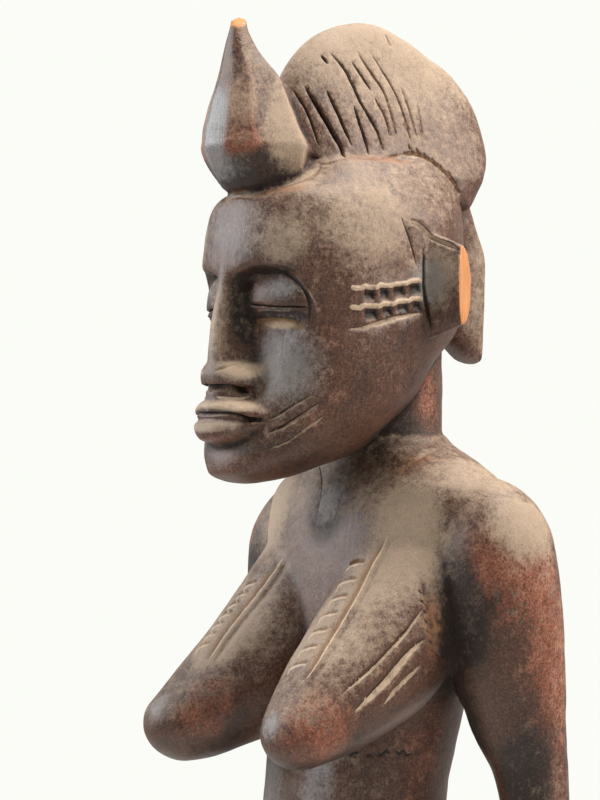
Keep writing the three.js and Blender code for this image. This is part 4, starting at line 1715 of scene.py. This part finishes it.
@dataclass(frozen=True)
class CarvedWood:
    """Dark handled wood with dust, a cool haze, painted light, sheen and shade, and a few bare cuts.

    Attributes:
        bare_cuts: the flat cuts that show fresh wood.
        deep: the darkest patina, and painted shade under the horn, the lips, the jaw and the breasts, beside
            the nose, in the armpits and on the shaded walls of cuts.
        brown: the common patina.
        ruddy: worn red-brown.
        dust: settled dust, also painted as light on parts of the chest and the breasts.
        bloom_and_sheen: a cool haze on the forehead and cheeks, and painted sheen and highlights there, on
            the horn's left facet, the chest, the torso and the breasts' tips.
        ochre: earth left in hollows.
        earth: earth left in cuts.
        pale: pale dust with painted light, on the cuts' lit walls and ridges and on patches of the nose, the
            lips, the cheek and the chest that lie in shade.
        bare: fresh wood.
        grained: the darker grain of fresh wood.
    """

    bare_cuts: tuple[EndCut, ...]
    deep: Colour = (0.016, 0.009, 0.007, 1)
    brown: Colour = (0.088, 0.039, 0.024, 1)
    ruddy: Colour = (0.225, 0.072, 0.038, 1)
    dust: Colour = (0.330, 0.245, 0.175, 1)
    bloom_and_sheen: Colour = (0.200, 0.185, 0.178, 1)
    ochre: Colour = (0.230, 0.105, 0.052, 1)
    earth: Colour = (0.200, 0.105, 0.045, 1)
    pale: Colour = (0.480, 0.355, 0.250, 1)
    bare: Colour = (0.540, 0.230, 0.080, 1)
    grained: Colour = (0.450, 0.170, 0.050, 1)

    def material(self, name: str) -> bpy.types.Material:
        """Builds the wood."""
        w = Weaver(name)
        place = w.node("ShaderNodeTexCoord").outputs["Object"]
        blotch = w.noise(w.stretched(place, (1, 1, 0.6)), *BLOTCH)
        patch, mottle, spot, speck = (w.noise(place, *noise) for noise in (PATCH, MOTTLE, SPOT, SPECK))
        grain = w.noise(w.stretched(place, (1, 1, 0.12)), *GRAIN)
        up = w.node("ShaderNodeSeparateXYZ", {0: w.node("ShaderNodeNewGeometry").outputs["Normal"]})
        facing = w.step(up.outputs["Z"], -0.5, 0.8)

        wear = w.total((w.layer("ruddy"), 1), (w.layer("edge"), 0.4), (patch, 2.4), (mottle, 2.6), less=2.8)
        colour = w.mix(w.step(wear, -0.1, 1.25), self.brown, self.ruddy)
        # Dark patina, with dark in hollows, and painted shade from the deep layer under the horn, the lips,
        # the jaw and the breasts, beside the nose and in the armpits
        dark = w.total((w.layer("deep"), 1), (blotch, 2.0), (mottle, 2.6), (w.layer("hollow"), 0.8), less=2.2)
        colour = w.mix(w.sum("MULTIPLY", w.step(dark, 0.0, 1.0), 0.94), colour, self.deep)
        stir = w.total((speck, 1.2), (spot, 1.6), (mottle, 0.8), less=0.8)
        colour = w.mix(1.0, colour, w.grey(stir), "MULTIPLY")

        # Dust on upward faces and on the dust tone's patches; on the chest and the breasts some patches are
        # painted light as well
        dust = w.total((w.layer("dust_and_painted_light"), 1), (facing, 0.5), (patch, 1.0), (mottle, 1.2), less=1.1)
        dust = w.total((dust, 1), (speck, 0.3), (spot, 0.5), (w.layer("hollow"), -0.3), less=0.4)
        dust_and_painted_light = w.step(dust, 0.08, 1.15)
        colour = w.mix(w.sum("MULTIPLY", dust_and_painted_light, 0.88), colour, self.dust)

        # A cool haze, and painted sheen and highlights on the patches that face the window light
        bloom_and_sheen = w.total((w.layer("bloom_and_sheen"), 1), (spot, 1.0), (mottle, 1.0), less=1.0)
        bloom_and_sheen = w.sum("MULTIPLY", w.step(bloom_and_sheen, 0.1, 1.2), w.step(w.layer("bloom_and_sheen"), 0.02, 0.25))
        colour = w.mix(w.sum("MULTIPLY", bloom_and_sheen, 0.85), colour, self.bloom_and_sheen)

        earthy = w.sum("MULTIPLY", w.layer("ochre"), w.step(mottle, 0.2, 0.75))
        colour = w.mix(w.step(earthy, 0.0, 0.9), colour, self.ochre)
        worn = w.sum("MULTIPLY", w.step(w.layer("cut_ochre"), 0.15, 0.6), w.step(mottle, 0.25, 0.5))
        colour = w.mix(w.sum("MULTIPLY", worn, 0.8), colour, self.earth)
        # The dark in cuts: the dark fill, with painted shade on the left walls of pale cuts
        dirt_and_shade = w.sum("MULTIPLY", w.step(w.layer("cut_dark"), 0.1, 0.6), 0.85)
        colour = w.mix(dirt_and_shade, colour, self.deep)
        # Pale dust with painted light: on lit cut walls and ridges, and on the pale tone's patches that lie
        # in shade
        pale = w.total((w.step(w.layer("cut_pale"), 0.04, 0.4), 1), (w.layer("paled"), 1))
        pale = w.sum("MULTIPLY", w.step(pale, 0, 1), w.step(mottle, 0.15, 0.5))
        colour = w.mix(w.sum("MULTIPLY", pale, 0.88), colour, self.pale)
        fine = w.total((speck, 0.8), (mottle, 0.4), less=-0.4)
        colour = w.mix(1.0, colour, w.grey(fine), "MULTIPLY")
        raw = w.mix(w.step(grain, 0.35, 0.7), self.bare, self.grained)
        for cut in self.bare_cuts:
            colour = w.mix(cut.share(w, place), colour, raw)

        rough = w.total((dust_and_painted_light, 0.3), (speck, 0.3), (w.layer("hollow"), 0.4), less=-0.26)
        rough = w.total((w.layer("bloom_and_sheen"), -0.08), (w.layer("deep"), 0.2), (rough, 1))
        height = w.total((patch, 0.6), (mottle, 0.5), (speck, 0.25), (grain, 0.5))
        bump = w.node("ShaderNodeBump", {"Height": height, "Strength": 0.4, "Distance": 0.0008})
        shader = w.node(
            "ShaderNodeBsdfPrincipled",
            {"Base Color": colour, "Roughness": rough, "Normal": bump.outputs[0], "Specular IOR Level": 0.4},
        )
        w.node("ShaderNodeOutputMaterial", {"Surface": shader.outputs[0]})
        return w.material


@dataclass(frozen=True)
class PaleFloor:
    """Plain matt floor that fades out around the figure.

    Attributes:
        colour: its colour.
        full: the radius within which it is solid, in metres.
        gone: the radius at which it has faded out.
    """

    colour: Colour = (0.80, 0.80, 0.775, 1)
    full: float = 0.35
    gone: float = 1.15

    def material(self, name: str) -> bpy.types.Material:
        """Builds the floor's finish."""
        w = Weaver(name)
        place = w.node("ShaderNodeTexCoord").outputs["Object"]
        far = w.node("ShaderNodeVectorMath", {0: place}, operation="LENGTH").outputs["Value"]
        matt = w.node("ShaderNodeBsdfDiffuse", {"Color": self.colour})
        clear = w.node("ShaderNodeBsdfTransparent")
        faded = w.node(
            "ShaderNodeMixShader",
            {0: w.step(far, self.full, self.gone), 1: matt.outputs[0], 2: clear.outputs[0]},
        )
        w.node("ShaderNodeOutputMaterial", {"Surface": faded.outputs[0]})
        return w.material


# The whole figure

# Where the tones lie on the left side, each patch as (x, y, z, half x, half y, half z, strength, hard)
STAINS: dict[Tone, Rows] = {
    # Dust; some patches on the chest and the breasts are painted light as well, lighter where light falls on
    # them
    Tone.DUST_AND_LIGHT: (
        # hair and head
        (22, 0, 645, 50, 75, 34, 0.12), (0, 5, 690, 40, 80, 45, 0.35),
        (38, -30, 612, 18, 30, 26, 0.6), (25, -62, 606, 15, 13, 15, 0.7),
        (3, -76, 575, 6, 8, 26, 0.4), (11, -71, 660, 9, 9, 34, 0.4),
        (22, -52, 652, 13, 17, 34, 0.9, 0.5), (21, -60, 574.6, 12, 10, 2.4, 0.8),
        (46, -2, 594, 12, 12, 18, 0.7), (8, 58, 590, 9, 18, 44, 0.5),
        (11, -72, 557, 11, 11, 5, 1.0, 0.5), (9, -76, 543.6, 18, 13, 3, 1.0, 0.5),
        (7, -80, 536.2, 16, 11, 3, 0.9, 0.5),
        # neck and body
        (44, -14, 493, 26, 14, 24, 0.9), (31, -52, 450, 14, 16, 20, 0.3),
        (55, 10, 515, 26, 24, 16, 0.5), (80, 12, 499, 15, 22, 17, 0.9),
        (82, 10, 484, 16, 24, 18, 0.15), (90, 28, 450, 14, 14, 80, 0.2),
        (38, -24, 478, 24, 30, 24, 0.6), (30, -14, 504, 24, 14, 12, 0.3),
        (24, -44, 458, 16, 26, 26, 0.5), (44, -40, 452, 14, 24, 20, 0.35),
        (41, -9, 507, 17, 15, 15, 0.45),
    ),
    Tone.RUDDY: (
        # hair and head
        (12, -72, 657, 10, 10, 44, 1.2), (13, -72, 644, 13, 12, 5, 0.9),
        (35, -46, 560, 13, 20, 34, 0.3), (40, -22, 602, 8, 26, 10, 0.5),
        (10, -74, 530.6, 15, 12, 2.6, 0.5), (21, 12, 547, 12, 16, 20, 0.9),
        # neck and body
        (40, -24, 478, 18, 20, 18, 0.4), (78, 0, 480, 26, 28, 30, 1.4, 0.2),
        (90, 24, 450, 22, 26, 84, 1.4, 0.2), (49, -64, 427, 20, 22, 20, 1.45, 0.2),
        (19, -66, 427, 16, 22, 20, 1.45, 0.2), (40, -4, 405, 16, 20, 36, 0.6),
    ),
    # A cool haze, and painted sheen and highlights: the horn's left facet, the forehead, the cheeks, the ear,
    # the chest, the torso and the breasts' tips
    Tone.BLOOM: (
        # hair and head
        (0, -79, 658, 13, 9, 34, 1.3), (4, -72, 635, 14, 12, 9, 0.5),
        (12, -66, 610, 20, 14, 18, 0.36), (22, -58, 559, 24, 24, 27, 1.3, 0.0),
        (22, -58, 588, 13, 10, 7, 0.8), (44, -5, 592, 10, 10, 15, 1.0),
        # neck and body
        (2, -20, 506, 12, 12, 16, 0.4), (14, -37, 395, 12, 14, 46, 0.8),
        (36, -78, 428, 9, 8, 10, 0.9),
    ),
    # Dark patina, and painted shade under the horn, the lower lip, the brow, the eye and the jaw, beside the
    # nose, in the armpits and under the breasts
    Tone.DEEP_AND_SHADE: (
        # hair and head
        (14, -64, 632, 22, 22, 11, 0.8, 0.5), (18, -36, 655, 12, 10, 28, -1.0),
        (25, -60, 586, 12, 14, 9, 0.7), (21, -60, 577.6, 16, 12, 3.4, 1.2, 0.6),
        (6.5, -66, 582, 4.5, 7, 18, 1.4, 0.6), (20, -62, 595, 15, 10, 4, 0.9),
        (14, -72, 528, 16, 12, 4.5, 0.6),
        # neck and body
        (24, -30, 522, 34, 36, 20, 0.4), (12, -4, 538, 22, 24, 20, 0.9),
        (0, -19, 503, 16, 14, 20, 0.8), (74, 0, 462, 20, 24, 22, 0.25),
        (66, -8, 462, 16, 14, 34, 1.0), (81, 12, 402, 18, 22, 44, 0.9),
        (61, -8, 468, 6, 10, 34, 0.8), (34, -58, 424, 34, 36, 24, 0.5),
        (36, -56, 408, 24, 36, 12, 0.5), (55, 5, 430, 16, 24, 34, 0.8),
    ),
    Tone.OCHRE: (
        # hair and head
        (20, -56, 626, 11, 17, 3, 1.0), (24, -14, 640, 8, 28, 3.4, 0.9),
        # neck and body
        (35, 0, 522, 9, 15, 3.4, 0.9), (31, -8, 518, 9, 10, 2.6, 0.8),
        (59, -17, 462, 4.5, 7, 21, 1.0),
    ),
    # Pale dust with painted light, on the nose's wing and ridge, the upper lip, under the eye, the cheek and
    # the chest, where they lie in shade
    Tone.PALE: (
        # hair and head
        (12, -70, 558, 10, 12, 5, 0.9, 0.5), (10, -74, 544, 17, 14, 3, 0.9),
        (2, -76, 578, 4, 8, 30, 0.3), (20, -60, 574.4, 12, 10, 2.4, 0.8),
        # neck and body
        (45, -14, 497, 24, 14, 18, 0.35), (22, -58, 556, 15, 14, 18, 0.15),
    ),
}

# Dust and painted light that lie otherwise on the right breast: less at its top, more on its middle, which is
# painted lighter
RIGHT_DUST_AND_LIGHT = (
    (-38, -26, 481, 18, 20, 17, -0.6), (-30, -53, 447, 16, 17, 18, 0.6),
)

# Where the skin's treatment changes, in millimetres: heights, distances to the front and a half band
CHIN = (520, 535)
HORN_FOOT = (618, 626)
BROW_FRONT = (44, 52)
BROW_HEIGHT = 594
BROW_BAND = (3, 7)
CAP_FOOT = (596, 608)
CAP_TOP = (634, 640)
BASE_EDGE = (34, 44)

# Seeds and cells of the knife's wobble, of the dents and of the ripple
KNIFE = (5, 3.0)
DENTS = (11, 14)
RIPPLE = (12, 5)

# How far a place lies under or over the smoothed skin where it counts as a hollow or an edge
HOLLOW = (0.02, 0.5)
EDGE = (0.03, 0.4)
STRONGEST = 1.5


@dataclass
class Figure:
    """The carving as one piece.

    Attributes:
        voxel: the spacing of the fused skin in millimetres.
        triangles: about how many triangles the finished piece has.
        ears: the ears.
        hair: the hair.
        refined: how far around cuts the skin is refined, and again around narrow ones of the upper part.
        narrow: the width under which a cut's walls are narrow.
        upper: the height from which the upper part counts.
    """

    voxel: float = 0.9
    triangles: int = 190000
    ears: Ears = Ears()
    hair: Hair = Hair()
    refined: tuple[float, float] = (1.5, 0.3)
    narrow: float = 3
    upper: float = 440

    def stains(self) -> list[Stain]:
        """Every patch of tone: those of the left side, their twins and those of the right breast."""
        left = [Stain.of(tone, row) for tone, rows in STAINS.items() for row in rows]
        return both_sides(left) + [Stain.of(Tone.DUST_AND_LIGHT, row) for row in RIGHT_DUST_AND_LIGHT]

    def built(self) -> bpy.types.Object:
        """Builds the carving, cuts it, measures it and dresses it.

        Returns:
            The piece, at the origin.
        """
        head, trunk, breasts, legs, arms = Head(), Trunk(), Breasts(), Legs(), Arms()
        skins = Pedestal().skins() + legs.skins() + trunk.skins() + arms.skins() + breasts.skins()
        skins += head.skins() + self.hair.skins() + self.ears.skins()
        for skin in skins:
            skin.points = leaned(skin.points)
        carving = Carving(skins, self.voxel)
        LOG.info("fused skin: %d points", len(carving.skin.points))
        self.soften(carving)
        strokes = trunk.strokes() + breasts.strokes() + head.strokes() + self.hair.strokes()
        cuts = legs.cuts() + arms.cuts() + carving.drawn(strokes, Sight())
        carving.refine(carving.near(cuts, self.refined[0]))
        fine = [c for c in cuts if max(c.left, c.right) < self.narrow and c.path[0][2] > self.upper]
        carving.refine(carving.near(fine, self.refined[1]))
        fills = carving.carve(cuts, Lattice(*KNIFE))
        LOG.info("cut skin: %d points, %d cuts", len(carving.skin.points), len(cuts))
        low, high = np.array([tuple(corner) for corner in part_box("figure")])
        carving.fit(np.maximum(np.abs(low), np.abs(high)) / MM)
        mesh = carving.thinned("figure_wood", self.triangles, self.layers(carving, fills))
        LOG.info("finished skin: %d triangles", len(mesh.polygons))
        piece = placed("figure_wood", mesh)
        finish = CarvedWood((self.ears.end_cut(), self.hair.end_cut()))
        mesh.materials.append(finish.material("carved_wood"))
        return piece

    def soften(self, carving: Carving) -> None:
        """Rounds the joins between forms and adds the hand's slight unevenness."""
        points = carving.skin.points
        body = 1 - smoothstep(points[:, 2], *CHIN)
        carving.smooth(14, 0.5 * body, outward_only=True)
        carving.smooth(2, 0.4 * (1 - smoothstep(points[:, 2], *HORN_FOOT)))
        off_brow = smoothstep(np.abs(points[:, 2] - BROW_HEIGHT), *BROW_BAND)
        carving.smooth(10, 0.5 * smoothstep(-points[:, 1], *BROW_FRONT) * (1 - off_brow))
        points, normals = carving.skin.points, carving.normals()
        cap = smoothstep(points[:, 2], *CAP_FOOT) * (1 - smoothstep(points[:, 2], *CAP_TOP))
        uneven = (0.35 + 0.3 * cap) * Lattice(*DENTS).at(points) + 0.12 * Lattice(*RIPPLE).at(points)
        above = smoothstep(points[:, 2], *BASE_EDGE)
        carving.skin.points = points + normals * (uneven * above)[:, None]

    def layers(self, carving: Carving, fills: dict[Fill, Array]) -> dict[str, Array]:
        """The values that the finish reads from the vertices."""
        points = carving.skin.points
        deep = carving.hollowness(16)
        made = {tone.value: np.zeros(len(points)) for tone in Tone}
        for stain in self.stains():
            made[stain.tone.value] += stain.at(points)
        made["hollow"] = smoothstep(deep, *HOLLOW)
        made["edge"] = smoothstep(-deep, *EDGE)
        for fill in (Fill.DARK, Fill.OCHRE, Fill.PALE):
            made[f"cut_{fill.value}"] = fills[fill]
        return {name: np.clip(values, 0, STRONGEST) for name, values in made.items()}


@dataclass(frozen=True)
class Light:
    """A soft square light.

    Attributes:
        name: its name.
        spot: where it hangs, in metres.
        aim: the point that it looks at.
        size: its side.
        power: its power in watts.
        colour: its colour.
    """

    name: str
    spot: Point
    aim: Point
    size: float
    power: float
    colour: Point

    def place(self) -> None:
        """Hangs the light and turns it to its aim."""
        data = bpy.data.lights.new(self.name, "AREA")
        data.size, data.energy, data.color = self.size, self.power, self.colour
        made = placed(self.name, data)
        way = np.array(self.aim, float) - np.array(self.spot, float)
        turn = math.atan2(way[1], way[0]) - math.pi / 2
        tilt = math.pi / 2 + math.atan2(way[2], math.hypot(way[0], way[1]))
        made.location, made.rotation_euler = self.spot, (tilt, 0, turn)


LIGHTS = (
    Light("key", (0.25, 0.30, 1.75), (0.0, 0.0, 0.55), 0.8, 27, (1.0, 0.96, 0.90)),
    Light("side", (0.85, 0.75, 1.15), (0.0, 0.0, 0.5), 0.5, 15, (1.0, 0.92, 0.84)),
    Light("window", (-0.85, -0.85, 1.00), (0.0, 0.0, 0.55), 1.0, 19, (0.92, 0.95, 1.0)),
)


@dataclass(frozen=True)
class Studio:
    """A pale floor, soft light and the camera.

    Attributes:
        sight: the camera's view.
        clip: the nearest and the farthest that the camera sees, in metres.
        floor_rings: the radii of the floor's rings in millimetres.
        around: how many corners a ring has.
        surround: the colour of the surround.
        shine: how strongly it shines on the figure and into the camera.
    """

    sight: Sight = Sight()
    clip: tuple[float, float] = (0.02, 20)
    floor_rings: tuple[float, ...] = (4, 60, 300, 700, 1200)
    around: int = 96
    surround: Colour = (0.965, 0.975, 0.93, 1)
    shine: tuple[float, float] = (0.5, 1.0)

    def camera(self) -> None:
        """The camera, level, at the photograph's angle."""
        data = bpy.data.cameras.new("camera")
        data.lens, data.sensor_width, data.sensor_fit = self.sight.lens, self.sight.film, "AUTO"
        data.clip_start, data.clip_end = self.clip
        made = placed("camera", data)
        made.location = self.sight.eye * MM
        made.rotation_euler = (math.pi / 2, 0, math.radians(self.sight.azimuth))
        bpy.context.scene.camera = made

    def floor(self) -> None:
        """A wide round floor under the base."""
        u = turns(self.around)
        out = np.array(self.floor_rings, float)[:, None]
        rings = np.stack([out * np.cos(u), out * np.sin(u), 0 * out * u], -1)
        grid = np.arange(len(out) * self.around).reshape(-1, self.around)
        beside = np.roll(grid, -1, axis=1)
        quads = np.stack([grid[:-1], grid[1:], beside[1:], beside[:-1]], -1).reshape(-1, 4)
        corners = np.concatenate([quads.ravel(), grid[0]])
        sizes = np.concatenate([np.full(len(quads), 4), [self.around]])
        floor = placed("floor", Skin(rings.reshape(-1, 3), corners, sizes).mesh("floor"))
        floor.data.materials.append(PaleFloor().material("pale_floor"))
        floor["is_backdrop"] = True

    def sky(self) -> None:
        """A nearly white surround, which shines less on the figure than into the camera."""
        world = bpy.data.worlds.new("surround")
        world.use_nodes = True
        bpy.context.scene.world = world
        tree = world.node_tree
        seen = tree.nodes.new("ShaderNodeLightPath").outputs["Is Camera Ray"]
        strength = tree.nodes.new("ShaderNodeMapRange")
        for name, value in zip(("To Min", "To Max"), self.shine):
            strength.inputs[name].default_value = value
        tree.links.new(seen, strength.inputs["Value"])
        back = tree.nodes["Background"]
        back.inputs["Color"].default_value = self.surround
        tree.links.new(strength.outputs[0], back.inputs["Strength"])

    def set_up(self) -> None:
        """Puts everything around the figure."""
        self.camera()
        self.floor()
        self.sky()
        for light in LIGHTS:
            light.place()
        settings = bpy.context.scene.view_settings
        settings.view_transform, settings.look = "Standard", "None"


def plain(box: object) -> object:
    """A box of vectors as nested lists of numbers."""
    if isinstance(box, dict):
        return {key: plain(value) for key, value in box.items()}
    if hasattr(box, "__len__"):
        return [plain(value) for value in box]
    return float(box)


def main() -> None:
    """Builds the figure and the studio, and measures both boxes."""
    logging.basicConfig(level=logging.INFO, format="%(message)s")
    solid_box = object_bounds()
    figure = Figure()
    piece = figure.built()
    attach(piece, "root")
    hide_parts("figure")
    LOG.info("piece: %s", piece.name)
    Studio().set_up()
    LOG.info("studio: floor, lights and camera")
    {"solid": plain(solid_box), "dressed": plain(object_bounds())}


if __name__ == "__main__":
    main()
